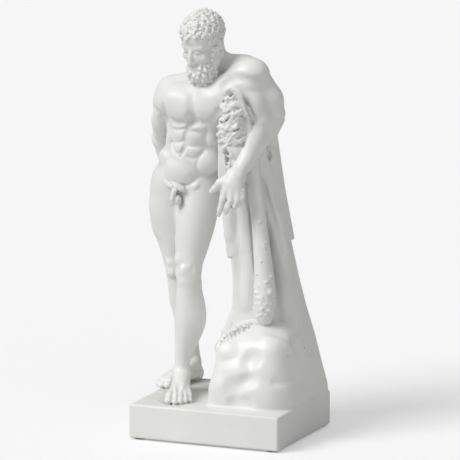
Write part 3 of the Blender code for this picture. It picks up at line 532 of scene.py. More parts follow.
def leftArm(clay):
    shoulder, elbow, wrist = pose["leftShoulder"], pose["leftElbow"], pose["leftWrist"]
    clay.add(rod(shoulder, elbow, 17, 12.5))
    for start, end, r0, r1, belly in (
            ((15, 12, 404), (33, 14, 370), 12, 10, 4.5), ((31, 31, 407), (44, 37, 374), 12, 9.5, 4),
            ((41, 33, 373), (38, 32, 359), 8.5, 8.5, 0), (elbow, wrist, 12.2, 8.5, 0),
            ((30, 18, 366), (24, -6, 326), 9.5, 6.5, 4.5), ((37, 25, 357), (24, -3, 320), 8, 5.5, 1.2)):
        clay.add(rod(start, end, r0, r1, belly), 7)
    clay.add(rod(wrist + vec(0, 0, 2), (13, -24, 299), 9.5, 9.5, 0, 1.25, (1, 0.2, 0)), 4)


def leftHand(clay):
    # hanging, its back to the front, the first finger nearly straight, the others bent and close together
    clay.add(egg((12, -24, 293), (13.5, 8, 15), turned(-10, -14, 8)), 5)
    clay.add(egg((16, -22, 284), (11.5, 7.5, 10), turned(-10, -14, 8)), 5)
    clay.add(egg((17, -24.5, 285), (11, 5.5, 8), turned(-14, 0, 8)), 3)
    for points, radii, blend in (
            ([(7.5, -29, 292), (4.2, -31, 281), (0.7, -31, 269), (-2, -29, 262)],
             [4.4, 3.7, 3.4, 2.5], 1.4),
            ([(14.5, -29, 292), (14.8, -31, 282), (11, -31, 273), (7.2, -28, 266)],
             [4.6, 3.8, 3.5, 2.7], 1.0),
            ([(21.5, -27, 292), (21.6, -29, 281), (18.4, -29, 274), (15.4, -25, 271)],
             [4.4, 3.7, 3.3, 2.8], 1.4),
            ([(25, -24, 292), (26.4, -26, 284), (24.6, -26, 277.5), (22, -23, 274)],
             [4.0, 3.4, 3.1, 2.6], 1.4)):
        chain(clay, points, radii, blend)
    clay.cut(egg((7.6, -35, 275), (1.1, 6, 7), turned(0, 0, 14)), 0.8)
    clay.cut(egg((15, -34, 272), (0.9, 6, 3), turned(0, 0, 20)), 0.8)
    chain(clay, [(5, -24, 302), (-2, -26, 299), (-8, -26, 292), (-13, -25, 288)], [6.5, 4.8, 3.8, 2.8], 2)


def rightArm(clay):
    shoulder, elbow, wrist = pose["rightShoulder"], pose["rightElbow"], pose["rightWrist"]
    clay.add(rod(shoulder, elbow, 14, 11))
    clay.add(rod((-94, 24, 372), (-107, 44, 338), 10, 8.5, 3.5), 6)
    clay.add(rod((-92.5, 40, 376), (-109, 60, 340), 9.5, 8, 4), 6)
    clay.add(egg(elbow + vec(-2, 2, -1), (10.5, 10, 11)), 4)
    clay.add(rod(elbow + vec(-1, 1, -3), wrist, 12, 7.2), 3)
    clay.add(rod(elbow + vec(-2, 4, -5), (-107, 76, 297), 11, 9, 2.5), 4)
    # the empty hand laid on the back of the hip
    clay.add(rod(wrist, (-74, 81, 277), 7.6, 7.6, 0, 1.3, (0.3, 0, 1)), 4)
    for i in range(4):
        knuckle = vec(-71, 82, 283.5 - 5.2 * i)
        middle = knuckle + vec(12, -0.5, -5 - i)
        chain(clay, [knuckle, middle, middle + vec(8, -3.5, -4)], [4.2, 3.7, 3.1], 1.3)
    clay.add(rod((-82, 82, 289), (-68, 84, 292), 5, 3.4), 2.5)


def shoulders(clay):
    clay.add(egg((-89.5, 28, 384), (16, 19, 25), turned(0, -14, 12)), 7)
    clay.add(rod((-60, 34, 404), (-88, 29, 396), 11, 12), 8)
    clay.add(egg((15, 21, 418.5), (25, 22, 21), turned(0, 0, -18)), 6)
    crease(clay, [(-5, 1, 408), (1, 0, 416), (10, 0, 419), (26, 2, 417), (36, 12, 415)], 2.6, 5, 5)
    crease(clay, [(-103, 14, 372), (-98, 8, 366), (-92, 10, 358)], 1.6, 4, 4)


# The head

def onHead(x, y, z):
    # from the middle of the skull, x to the figure's left, -y out of the face
    return pose["head"] + turned(*pose["headTurn"]) @ vec(x, y, z)


lids = [
    # the edges of the figure's left lids on the head's own axes, and their radii
    ([(4.2, -20.4, -0.8), (6.0, -22.0, 0.9), (8.2, -22.5, 1.4), (10.6, -21.4, 0.7), (12.2, -19.4, -1)], 0.8),
    ([(4.6, -20.4, -1.6), (8.2, -21.9, -3.2), (11.8, -19.6, -1.6)], 0.6),
]


def neckAndHead(clay):
    axes = turned(*pose["headTurn"])
    skull = clay.fresh(*rooms["skull"])

    def mass(x, y, z, radii, blend=0.0):
        skull.add(egg(onHead(x, y, z), radii, axes), blend)

    def bar(start, end, thick0, thick1, blend):
        skull.add(rod(onHead(*start), onHead(*end), thick0, thick1), blend)
    clay.add(rod(pose["neck"] + vec(0, 0, -6), onHead(0, 13, -14), 20, 14.5), 8)
    clay.add(rod(onHead(17, 6, -16), (-33, 6, 402), 5.5, 4), 5)
    clay.add(rod(onHead(-17, 6, -16), (-42, 5, 400), 5.5, 4), 5)
    # skull, jaw and chin, then brows, cheeks, sockets, eyes and lids, then the nose
    mass(0, 4, 6, (21.5, 26, 24))
    mass(0, -9, -11, (16.5, 16.5, 21), 5)
    mass(0, -15, -24, (11, 9, 9), 4)
    for side in (-1, 1):
        bar((side * 3, -21.5, 5.5), (side * 14, -16.5, 4.5), 3.4, 2.6, 3)
        mass(side * 11.5, -17, -8.5, (6.2, 5, 5), 4)
        skull.cut(egg(onHead(side * 8, -24.5, -0.5), (5.2, 4.2, 3.2), axes), 2)
        mass(side * 8, -18.6, -0.8, (4.2, 3.8, 3.4), 0.8)
        for lid, fat in lids:
            chain(skull, [onHead(side * x, y, z) for x, y, z in lid], [fat] * len(lid), 0.4)
    bar((0, -22.5, 3), (0, -28.5, -11.5), 2.4, 3.2, 2)
    for side in (-1, 1):
        mass(side * 2.9, -26.2, -12.8, (2.3, 2.8, 2.2), 1.2)
    # the masses of hair, beard and moustache, the lip and the ears
    mass(0, 6, 9.5, (23.6, 27.6, 23), 2)
    skull.cut(egg(onHead(0, -34, 8), (17, 13, 9), axes), 4)
    for side in (-1, 1):
        bar((side * 18, -2, -8), (side * 11, -11, -27), 6, 8, 4)
        bar((side * 1.5, -26.5, -17.5), (side * 11.5, -21, -25), 2.8, 2.6, 1.5)
        mass(side * 23, 5, -5, (2.6, 5, 7), 1.5)
    mass(0, -19.5, -32, (15.2, 12.6, 15.6), 4)
    mass(0, -26, -22.5, (4.2, 2.4, 1.6), 1)
    clay.join(skull, 2)


def spiral(clay, spot, size, thick, hand, phase, turns=1.35, rise=0.7):
    # a snail curl on the surface by the spot: a rod that winds inward and rises a little towards its middle
    place, out = clay.onto(spot)
    axes = facing(out, 0)
    t = np.linspace(0, 1, 9)
    angle = phase + hand * 2 * np.pi * turns * t
    radius = size * (1 - t) ** 0.8
    lift = thick * (0.1 + rise * t)
    local = np.stack([radius * np.cos(angle), radius * np.sin(angle), lift], 1)
    points = place + local @ axes.T
    fat = thick * (0.75 + 0.25 * t)
    for i in range(len(t) - 1):
        clay.add(rod(points[i], points[i + 1], fat[i], fat[i + 1]), 0.5)


def spreadOn(count, centre, radii):
    # points spread evenly over an egg: even steps in height, each a golden angle further round
    h = 1 - 2 * (np.arange(count) + 0.5) / count
    ring = np.sqrt(1 - h * h)
    angle = np.arange(count) * np.pi * (3 - np.sqrt(5))
    ball = np.stack([ring * np.cos(angle), ring * np.sin(angle), h], 1)
    return centre + ball * radii


hairLook = {
    "curls": 205, "size": 2.9, "thick": 1.25, "rise": 1.1, "beardCurls": 84, "beardSize": 2.6,
    "beardThick": 1.2,
    # where the beard runs up into the hair, on the figure's left
    "sides": [(21, -6, -4), (20, -9, -10), (18, -11, -16), (20, -1, -12), (17, -5, -20), (21, -2, -6)],
}


def hair(clay):
    # curls over the skull and down to the temples, then over the beard, but not on the face
    chance = np.random.default_rng(4)
    for x, y, z in spreadOn(hairLook["curls"], vec(0, 6, 9.5), vec(24, 28, 23.5)):
        fringe = y < -8 and z > 16
        temple = abs(x) > 17 and y < 8 and z < 3
        if not (fringe or (y >= -8 and z > -5 - 0.45 * max(y, 0) and not temple)):
            continue
        spot = onHead(*(vec(x, y, z) + chance.uniform(-1.2, 1.2, 3)))
        spiral(clay, spot, hairLook["size"] * chance.uniform(0.7, 1.35), hairLook["thick"],
               chance.choice([-1, 1]), chance.uniform(0, 6.28), chance.uniform(0.8, 1.5), hairLook["rise"])
    for x, y, z in spreadOn(hairLook["beardCurls"], vec(0, -17.5, -30), vec(16, 14.5, 16.5)):
        mouth = abs(x) < 5 and y < -24 and z > -25
        if y < -4 and z < -18 and not mouth:
            spot = onHead(*(vec(x, y, z) + chance.uniform(-1.0, 1.0, 3)))
            size = hairLook["beardSize"] * chance.uniform(0.75, 1.35)
            spiral(clay, spot, size, hairLook["beardThick"], chance.choice([-1, 1]), chance.uniform(0, 6.28),
                   1.3, hairLook["rise"])
    for side in (-1, 1):
        for x, y, z in hairLook["sides"]:
            spiral(clay, onHead(side * x, y, z), hairLook["beardSize"], hairLook["beardThick"], side,
                   chance.uniform(0, 6.28))


def loins(clay):
    # a low band of tiny curls
    path = [(-83, 5, 287), (-76, 1, 286), (-71, 1, 285), (-66, 1, 284), (-61, 3, 282), (-58, 6, 281)]
    clay.join(rope(clay, np.add(path, (0, 1.4, 0)), [1.6, 4.0, 4.4, 4.2, 3.6, 1.8]), 2.4)
    chance = np.random.default_rng(5)
    for k, spot in enumerate(smoothPath(path, 31)):
        spot = spot + vec(0, -4, 3.0 - 2.1 * (k % 4))
        spiral(clay, spot, 1.4, 0.7, chance.choice([-1, 1]), chance.uniform(0, 6.28), 0.9, 1.2)
    clay.add(egg((-70.5, -1, 269.5), (4.4, 5, 6.6), turned(0, 0, 8)), 1.2)
    clay.add(egg((-66, 0, 269.5), (4.0, 4.8, 6.0)), 1.2)
    clay.add(rod((-69.5, -3, 280), (-71.5, -5, 270.5), 3.0, 2.7), 0.8)


# Rock, slab, club and lion skin

plinthLook = {"width": 188, "depth": 160, "tall": 40.5, "top": 40, "rounded": 2.4}


def slabAndRock(clay):
    clay.add(post([
        (30, -12, 93.5, -24, 79.6), (50, -12, 91.2, -14, 79.6), (71, -12, 85, 4, 79.6),
        (108, -12, 75, 33, 79.3), (140, -7, 64.5, 36, 79), (172, -5, 56, 37, 78.4), (221, -3, 45, 37, 77),
        (280, 3, 34.5, 37, 75.5), (340, 8, 27, 40, 73), (350, 10, 25, 42, 72)], 3), 1.5)
    rock = clay.fresh(*rooms["rock"])
    rock.add(post([
        (28, -9, 68, -56, 40), (60, -8, 67, -55, 40), (71, -5.4, 66.5, -53, 40), (82, -2.6, 66, -51, 40),
        (95, -2.6, 65, -46, 40), (104, -2, 64, -43, 40), (120, 3, 62, -32, 40), (133, 15, 58, -20, 40)],
        13, True), 14)
    rock.add(post([
        (28, 30, 92, -42, 40), (60, 30, 90.5, -41, 40), (82, 30, 87, -38, 40), (102, 30, 82.5, -32, 40),
        (117, 32, 79, -24, 40), (131, 38, 74, -12, 40)], 17, True), 14)
    for place, wide, tall, rise, turn in rockLook["lumps"]:
        swell(rock, place, wide, tall, rise, 9, turn)
    for place, wide, tall, deep, turn in rockLook["hollows"]:
        dent(rock, place, wide, tall, deep, 8, turn)
    rock.add(rod((66, -28, 104), (69, -36, 46), 14, 15), 16)
    ridge(rock, [(60, -30, 115), (69, -28, 113), (76, -24, 111), (82, -20, 107)], 1.6, 5, 4)
    crease(rock, [(78, -25, 104), (83, -20, 102), (87, -15, 101)], 1.2, 1.8, 1.6)
    crease(rock, [(72, -40, 72), (80, -36, 71), (88, -29, 73)], 0.9, 3, 3)
    clay.join(rock, 4)


rockLook = {
    "lumps": [
        ((30, -48, 84), 15, 14, 1.7, -20), ((14, -40, 108), 12, 10, 1.0, 0), ((48, -38, 115), 17, 9, 1.0, 0),
        ((80, -20, 107), 10, 9, 1.2, 30), ((66, -43, 89), 13, 14, 1.5, 10), ((55, -52, 60), 18, 12, 1.3, -8),
        ((14, -55, 60), 13, 15, 1.3, 20), ((86, -34, 60), 12, 14, 1.0, 0)],
    "hollows": [
        ((51, -44, 98), 12, 8, 1.9, 25), ((29, -55, 66), 12, 8, 0.9, 20),
        ((48, -54, 75), 9, 6, 0.9, 20), ((39, -56, 48), 12, 6, 1.0, 0)],
}


def skin(clay):
    cloak = clay.fresh(*rooms["skin"])
    # trunk under the skin, the flap beside the club and the cover over the slab
    cloak.add(post([
        (95, -17, 60, 8, 45), (112, -16.5, 60, 6, 45), (121, -12.5, 58, 6, 45), (128, -8.8, 56, 6, 45),
        (135, -6.2, 55, 6, 45), (142, -3.2, 54, 6.5, 45), (165, -1.6, 50, 6.5, 45), (190, -2.4, 45, 6, 45),
        (215, -4, 40, 5, 45)], 7, True))
    cloak.add(post([
        (203, -7.5, -2, 5.6, 45), (209, -8, 6, 5.4, 45), (219, -8.6, 37, 4.9, 45), (262, -12, 36, 1.5, 45),
        (302, -15.5, 32, -3, 45), (345, -14.5, 30, -4, 45), (374, -12, 26, -1, 45)], 4), 2.5)
    cloak.add(post([
        (217, 20, 50.2, 33, 78.4), (240, 18, 45.6, 32, 78), (280, 15, 38, 31, 77), (340, 10, 30, 33, 74),
        (352, 10, 28, 36, 72)], 3), 2)
    # folds down the front, the last one along the slab's edge
    cloak.join(rope(cloak, [(26, 22, 352), (36, 23, 300), (47, 24, 240), (56, 27, 190), (64, 28, 150),
            (71, 22, 112)],
                    [5.5, 6.5, 6.5, 6.5, 6.5, 4]), 9)
    cloak.join(rope(cloak, [(26, 37, 346), (34, 38, 290), (43, 44, 236), (51, 46, 208), (57, 47, 178),
                            (61, 47, 160), (67, 44, 131), (76, 34, 106), (82, 28, 96)],
                    [3.5, 4, 4, 4.2, 4.4, 4.6, 5, 5, 3]), 6)
    # the soft hollow behind the club
    cloak.add(rod((47, 26, 250), (64, 24, 125), 9, 11), 9)
    # flap behind the elbow
    cloak.add(rod((42, 44, 364), (24, 58, 342), 7, 9, 0, 1.3, (0, 1, 0)), 4)
    cloak.add(rod((20, 40, 380), (38, 44, 366), 11, 8), 4)
    # mane and muzzle hanging in front
    cloak.add(egg((6, 3, 374), (14, 17.5, 33), turned(0, 0, 6)), 4)
    cloak.add(egg((4, 1, 354), (18, 15, 24)), 4)
    cloak.add(egg((6, -5, 334), (14, 9.5, 12)), 4)
    cloak.add(egg((6, -4, 321), (13, 9, 14)), 4)
    hood = [(-9, -4, 388), (-4, -9, 397), (2, -12, 405), (9, -12, 408), (16, -11, 402), (21, -8, 390),
            (25, -3, 376), (27, 6, 364)]
    cloak.join(rope(cloak, hood, [0.9, 1.1, 1.5, 1.9, 2.3, 2.5, 2.5, 2.4], flat=2.1, side=(1, 0.35, 0.1)),
            1.6)
    clay.join(cloak, 1.5)
    crease(clay, [(22, -9, 399), (25, -7, 387), (27.5, -4, 376), (28, 3, 366)], 3.0, 1.8, 1.0)
    # the hanging mouth: a slit, its upper lip, the fold at its right and two small ridges inside
    clay.cut(egg((2, -13, 325), (2.8, 8, 10), turned(20, 0, 3)), 1.2)
    clay.cut(egg((0.5, -14, 332.5), (3.8, 7, 3.6), turned(20, 0, 0)), 1.0)
    ridge(clay, [(-5, -13, 334), (-4, -14, 338), (-0.8, -15, 341), (3.6, -15, 339), (7, -14, 334),
            (9, -13, 328)],
          1.6, 1.9, 0.8)
    ridge(clay, [(8, -13, 331), (11.5, -13, 325), (10, -12, 319)], 1.2, 1.6, 0.8)
    chain(clay, [(-3, -8, 329), (2, -9, 328), (7, -9, 327.5)], [1.2, 1.3, 1.2], 0.8)
    chain(clay, [(-2, -8, 320), (2, -9, 319.5), (7, -9, 319)], [1.1, 1.2, 1.1], 0.8)
    crease(clay, [(7.5, -13, 326), (6.5, -12, 319), (6, -12, 313)], 1.2, 1.2, 0.8)
    # deep folds beside the club
    crease(clay, [(33, 0, 319), (35, 7, 304), (36, 15, 289), (39, 18, 277), (43, 19, 267), (48, 20, 250),
                  (54, 19, 233), (57, 22, 214)], 3.2, 3.2, 3.0)
    crease(clay, [(22, -2, 296), (22, 2, 278), (24, 1, 254), (25, 1, 235), (27, 3, 216), (30, 4, 190)],
           3.5, 2.6, 2.2)
    # soft hollows and ridges of the hanging skin
    dent(clay, (8, 3, 245), 7, 16, 1.8, 7)
    dent(clay, (9, 4, 195), 6, 22, 1.6, 7)
    ridge(clay, [(17, 2, 262), (19, 3, 230), (20, 5, 190), (19, 6, 150)], 1.2, 4, 5)
    ridge(clay, [(-2, 3, 262), (-3, 5, 230)], 1.0, 3.4, 5)
    dent(clay, (68, 22, 160), 7, 26, 2.0, 8, -12)
    for path in ([(53, 33, 373), (50, 32, 366), (49, 27, 360), (47, 24, 352)],
                 [(53, 38, 366), (50, 38, 358), (46, 34, 350)]):
        crease(clay, path, 1.3, 1.5, 0.8)
    # fur marks at the slab's foot
    for place in ((83, 28, 101), (80, 40, 91), (80, 50, 87), (79, 58, 91), (80, 47, 95), (82, 34, 96)):
        dent(clay, place, 1.7, 1.1, 1.3, 0.4, 30)
    # the curled ear at the slab's edge: a crescent, thick at its lower right, round a small leaf
    toViewer = facing(unit(vec(0.5, -0.85, 0.1)), 0)
    middle = vec(35.3, 30, 324.5)
    a = np.radians(100 - 18 * np.arange(16))
    ring = np.stack([6.2 * np.cos(a), 8.6 * np.sin(a), 0.8 * np.cos(a)], 1)
    chain(clay, middle + ring @ toViewer.T, 1.8 + 1.5 * np.sin(np.linspace(0.2, 2.9, 16)), 0.6)
    leaf = np.array([(0.5, 7.6, -0.5), (0.5, 3.5, 0), (-1.5, 0, 0), (-4.5, -2.5, -1)])
    chain(clay, middle + leaf @ toViewer.T, [1.2, 1.9, 2.0, 1.2], 0.6)
    furStrip(clay)


pawLook = {"path": [(-3, -33, 105), (3, -33, 112), (11, -30, 119), (20, -24, 126), (31, -13, 131)],
           "thick": [2.6, 3.6, 4.6, 5.0, 3.2], "curls": 44, "size": 1.5, "curlThick": 0.75}


def furStrip(clay):
    # the paw: a flat strip with short curls all over it
    path = pawLook["path"]
    clay.join(rope(clay, path, pawLook["thick"], flat=1.35, side=(0, 0, 1)), 2)
    chance = np.random.default_rng(11)
    for k, spot in enumerate(smoothPath(path, pawLook["curls"] - 1)):
        spot = spot + vec(0, -6, 5 - 3.2 * (k % 4))
        spiral(clay, spot, pawLook["size"] * chance.uniform(0.8, 1.2), pawLook["curlThick"],
               chance.choice([-1, 1]), chance.uniform(0, 6.28), 0.9)


maneLook = {"rows": 13, "seed": 7, "strand": 0.85, "apart": 1.2,
            "hollows": [(3, 384), (-6, 376), (2, 371), (-3, 362), (9, 363), (-1, 352), (11, 353), (2, 394)]}


def mane(clay):
    # wavy locks of three strands, each with its own length, slant and bend, in overlapping rows
    chance = np.random.default_rng(maneLook["seed"])

    def inFront(x, z):
        bulge = np.sqrt(np.maximum(1 - ((x - 5) / 21) ** 2 - ((z - 368) / 48) ** 2, 0))
        return np.stack([x, 4 - 19 * bulge, z], -1)
    for x, z in maneLook["hollows"]:
        dent(clay, inFront(x, z), 2.6, 1.8, 3.0, 1.0, chance.uniform(-40, 40))
    rows = maneLook["rows"]
    for row in range(rows):
        z0 = 402 - 4.6 * row
        half = min(4.5 + 2.9 * row, 17)
        count = 2 if row < 3 else 3
        for k in range(count):
            x0 = 5 + half - 2 * half * (k + chance.uniform(-0.15, 0.25)) / count
            length = 2 * half / count * chance.uniform(0.9, 1.5)
            slant = chance.uniform(-0.15, 0.7)
            wave = chance.uniform(0.8, 2.2)
            phase = chance.uniform(-1.2, 1.2)
            t = np.linspace(0, 1, 6)
            xs = np.maximum(x0 - length * t, -11 - 0.4 * row)
            zs = z0 - slant * length * t + wave * np.sin(2 * np.pi * t * 0.85 + phase)
            places, out = clay.onto(inFront(xs, zs))
            lift = 0.2 + chance.uniform(0.4, 1.4) * np.sin(np.pi * t)
            fat = maneLook["strand"] * chance.uniform(0.85, 1.25)
            for strand in (-1, 0, 1):
                fan = 1 - 0.45 * t
                across = strand * maneLook["apart"] * fan[:, None] * vec(0, 0, 1)
                path = places + out * (lift + 0.5 * (strand == 0))[:, None] + across
                clay.join(rope(clay, path, [fat, fat * 1.4, fat * 1.3, fat * 0.6], 10), 0.8)


clubLook = {
    "seed": 12,
    "levels": [(137, 47.5, -8, 7.5), (143, 47.5, -9, 10.8), (151, 47.4, -9.5, 12.3), (160, 47.3, -8.5, 12.9),
               (172, 47, -7, 12.7), (199, 44, -4, 11), (225, 40.5, -2, 9.8), (239, 38.3, -0.5, 9.2),
               (274, 33, 2, 8.6), (291, 30, 3, 7.8), (340, 24, 8, 6.5), (402, 18, 12, 5)],
    "knots": [((48, -9, 227), 1.5), ((48, -10, 223), 1.5), ((45, -14, 208), 1.5), ((40, -15, 192), 1.2),
              ((55, -8, 189), 2.2), ((52, -14, 184), 1.9), ((55, -14, 171), 3.0), ((40, -18, 171), 2.1),
              ((39, -17, 166), 1.5), ((59, -10, 164), 1.8), ((58, -18, 151), 2.0), ((50, -22, 153), 2.0),
              ((44, -22, 150), 1.8), ((54, -20, 159), 1.7), ((47, -22, 159), 1.5), ((54, -21, 146), 2.0),
              ((47, -22, 145), 2.2), ((58, -15, 159), 1.4), ((41, -20, 158), 2.0), ((49, -20, 167), 1.3),
              ((51, -21, 149), 1.6), ((43, -19, 143), 1.7), ((50, -20, 141), 1.8), ((56, -17, 143), 1.6),
              ((51, -7, 231), 1.0), ((52, -6, 226), 0.9), ((53, -6, 220), 1.0), ((53, -7, 214), 1.1),
              ((49, -9, 217), 0.9), ((35, -12, 178), 1.5), ((37, -17, 152), 1.8)],
    "ridges": [[(45, -17, 180), (50, -18, 176), (54, -16, 170)],
               [(36, -9, 254), (40, -10, 252), (44, -9, 255)],
               [(40, -18, 163), (44, -20, 166), (50, -20, 163)]],
}


def club(clay):
    stick = clay.fresh(*rooms["club"])
    levels = np.array(clubLook["levels"], float)
    path = smoothPath(levels, 10 * (len(levels) - 1))
    for a, b in zip(path, path[1:]):
        stick.add(rod((a[1], a[2], a[0]), (b[1], b[2], b[0]), a[3], b[3]))
    # knots: uneven mounds, most with a pit, and low ridges of the bark
    chance = np.random.default_rng(clubLook["seed"])
    for place, r in clubLook["knots"]:
        swell(stick, place, r * chance.uniform(1.0, 1.6), r * chance.uniform(0.9, 1.3),
              r * chance.uniform(0.5, 0.9), 1.0, chance.uniform(-60, 60))
        aside = chance.uniform(-0.7, 0.7, 3) * r
        if chance.random() < 0.6:
            dent(stick, vec(*place) + aside, r * 0.7, r * 0.45, r * 0.6, 0.4, chance.uniform(-60, 60))
    for path in clubLook["ridges"]:
        ridge(stick, path, 1.1, 1.4, 0.8)
    clay.join(stick, 1.0)


def wholeCarving(step):
    clay = Clay(*rooms["all"], step)
    wide, deep = plinthLook["width"] / 2, plinthLook["depth"] / 2
    clay.add(block((-wide, -deep, plinthLook["top"] - plinthLook["tall"]),
            (wide, deep, plinthLook["top"]), plinthLook["rounded"]))
    slabAndRock(clay)
    body = clay.fresh(*rooms["body"])
    torso(body)
    back(body)
    for name, side, angle in (("right", -1, -14), ("left", 1, -2)):
        limb = clay.fresh(*rooms["leg"])
        leg(limb, name, side, angle)
        if name == "right":
            limb.add(rod((-96.5, 28, 276), (-98.5, 34, 228), 14.5, 13, belly=3), 6)
            limb.add(rod((-103, 38, 236), (-92, 42, 190), 12.6, 9.6), 6)
        body.join(limb, 5)
    feet = clay.fresh(*rooms["feet"])
    foot(feet, "left", 1, (-39, -65), 9)
    foot(feet, "right", -1, (-95, 9), 5.5)
    body.join(feet, 4)
    limb = clay.fresh(*rooms["arm"])
    leftArm(limb)
    leftHand(limb)
    body.join(limb, 3)
    limb = clay.fresh(*rooms["arm"])
    rightArm(limb)
    body.join(limb, 3)
    shoulders(body)
    neckAndHead(body)
    bellyAndChestLines(body)
    loins(body)
    hair(body)
    skin(clay)
    mane(clay)
    club(clay)
    clay.join(body, 1.0)
    return clay


# From clay to mesh

corners = [(bit & 1, bit >> 1 & 1, bit >> 2 & 1) for bit in range(8)]


def oneSheet(code):
    # whether a cell's corners inside hang together along its edges, and its corners outside too
    for wanted in (1, 0):
        group = [bit for bit in range(8) if code >> bit & 1 == wanted]
        if not group:
            continue
        found = [group[0]]
        for bit in found:
            found += [other for other in (bit ^ 1, bit ^ 2, bit ^ 4) if other in group and other not in found]
        if len(found) < len(group):
            return False
    return True


def cellCodes(depth):
    inside = depth < 0
    code = np.zeros(np.array(depth.shape) - 1, np.uint8)
    for bit, (dx, dy, dz) in enumerate(corners):
        part = inside[dx:inside.shape[0] - 1 + dx, dy:inside.shape[1] - 1 + dy, dz:inside.shape[2] - 1 + dz]
        code |= part.astype(np.uint8) << bit
    return code


def skinOf(clay):
    # surface nets: one point in each cell that the surface crosses, at the mean of the crossings on its
    # edges, and a four-sided face round each grid edge that the surface crosses; a cell whose corners inside
    # or outside aren't all joined along its edges is first taken wholly inside
    depth = clay.depth
    tangled = np.array([not oneSheet(code) for code in range(256)])
    for attempt in range(8):
        code = cellCodes(depth)
        bad = np.nonzero(tangled[code])
        if not len(bad[0]):
            break
        for dx, dy, dz in corners:
            spot = (bad[0] + dx, bad[1] + dy, bad[2] + dz)
            depth[spot] = np.minimum(depth[spot], -0.02 * clay.step)
    crossed = (code > 0) & (code < 255)
    cells = np.stack(np.nonzero(crossed), 1)
    flat = np.ravel_multi_index(cells.T, code.shape)
    reading = [depth[cells[:, 0] + dx, cells[:, 1] + dy, cells[:, 2] + dz] for dx, dy, dz in corners]
    total = np.zeros((len(cells), 3))
    count = np.zeros(len(cells))
    for a in range(8):
        for axis in range(3):
            b = a | 1 << axis
            if b == a:
                continue
            cut = (reading[a] < 0) != (reading[b] < 0)
            t = reading[a][cut] / (reading[a][cut] - reading[b][cut])
            spot = np.tile(np.array(corners[a], float), (len(t), 1))
            spot[:, axis] += t
            total[cut] += spot
            count[cut] += 1
    points = (cells + total / count[:, None] + clay.low) * clay.step
    faces = []
    inside = depth < 0
    for axis in range(3):
        first = [slice(1, -1)] * 3
        second = [slice(1, -1)] * 3
        first[axis] = slice(0, -1)
        second[axis] = slice(1, None)
        a = inside[tuple(first)]
        b = inside[tuple(second)]
        spots = np.stack(np.nonzero(a != b), 1)
        leaving = a[tuple(spots.T)]
        spots += [0 if k == axis else 1 for k in range(3)]
        u, v = (axis + 1) % 3, (axis + 2) % 3
        ring = []
        for du, dv in ((-1, -1), (0, -1), (0, 0), (-1, 0)):
            cell = spots.copy()
            cell[:, u] += du
            cell[:, v] += dv
            ring.append(np.searchsorted(flat, np.ravel_multi_index(cell.T, code.shape)))
        ring = np.stack(ring, 1)
        ring[~leaving] = ring[~leaving][:, ::-1]
        faces.append(ring)
    return points, np.concatenate(faces)


def biggestBody(points, faces):
    # each point takes the lowest number it is joined to until nothing changes; the commonest number is kept
    label = np.arange(len(points))
    a = faces.ravel()
    b = np.roll(faces, 1, 1).ravel()
    while True:
        low = np.minimum(label[a], label[b])
        fresh = label.copy()
        np.minimum.at(fresh, a, low)
        np.minimum.at(fresh, b, low)
        fresh = fresh[fresh]
        if (fresh == label).all():
            break
        label = fresh
    kept = label == np.bincount(label).argmax()
    number = np.cumsum(kept) - 1
    return points[kept], number[faces[kept[faces[:, 0]]]]


def meshFrom(name, points, faces):
    mesh = bpy.data.meshes.new(name)
    mesh.vertices.add(len(points))
    mesh.vertices.foreach_set("co", np.ascontiguousarray(points, np.float32).ravel())
    sides = faces.shape[1]
    mesh.loops.add(faces.size)
    mesh.loops.foreach_set("vertex_index", np.ascontiguousarray(faces, np.int32).ravel())
    mesh.polygons.add(len(faces))
    mesh.polygons.foreach_set("loop_start", np.arange(0, faces.size, sides, dtype=np.int32))
    mesh.update(calc_edges=True)
    mesh.validate()
    return mesh


# Finishes

def addNode(tree, kind, **values):
    node = tree.nodes.new(kind)
    for name, value in values.items():
        setattr(node, name, value)
    return node


def wire(tree, source, target):
    tree.links.new(source, target)


def grainGroup():
    # fine unevenness of a surface: two noises of different size added up as a height
    tree = bpy.data.node_groups.new("surfaceGrain", 'ShaderNodeTree')
    face = tree.interface
    face.new_socket("Coordinates", in_out='INPUT', socket_type='NodeSocketVector')
    for name, value in (("Grain Size", 900.0), ("Wave Size", 90.0), ("Wave Share", 0.5)):
        face.new_socket(name, in_out='INPUT', socket_type='NodeSocketFloat').default_value = value
    face.new_socket("Height", in_out='OUTPUT', socket_type='NodeSocketFloat')
    source = addNode(tree, "NodeGroupInput")
    result = addNode(tree, "NodeGroupOutput")
    fine = addNode(tree, "ShaderNodeTexNoise")
    fine.inputs["Detail"].default_value = 3.0
    broad = addNode(tree, "ShaderNodeTexNoise")
    broad.inputs["Detail"].default_value = 4.0
    wire(tree, source.outputs["Coordinates"], fine.inputs["Vector"])
    wire(tree, source.outputs["Coordinates"], broad.inputs["Vector"])
    wire(tree, source.outputs["Grain Size"], fine.inputs["Scale"])
    wire(tree, source.outputs["Wave Size"], broad.inputs["Scale"])
    mix = addNode(tree, "ShaderNodeMix", data_type='FLOAT')
    wire(tree, source.outputs["Wave Share"], mix.inputs[0])
    wire(tree, fine.outputs["Fac"], mix.inputs[2])
    wire(tree, broad.outputs["Fac"], mix.inputs[3])
    wire(tree, mix.outputs[0], result.inputs["Height"])
    return tree


def mixColours(tree, share, first, second):
    mix = addNode(tree, "ShaderNodeMix", data_type='RGBA')
    wire(tree, share, mix.inputs[0])
    for socket, colour in ((mix.inputs[6], first), (mix.inputs[7], second)):
        if isinstance(colour, tuple):
            socket.default_value = (*colour, 1.0)
        else:
            wire(tree, colour, socket)
    return mix.outputs[2]


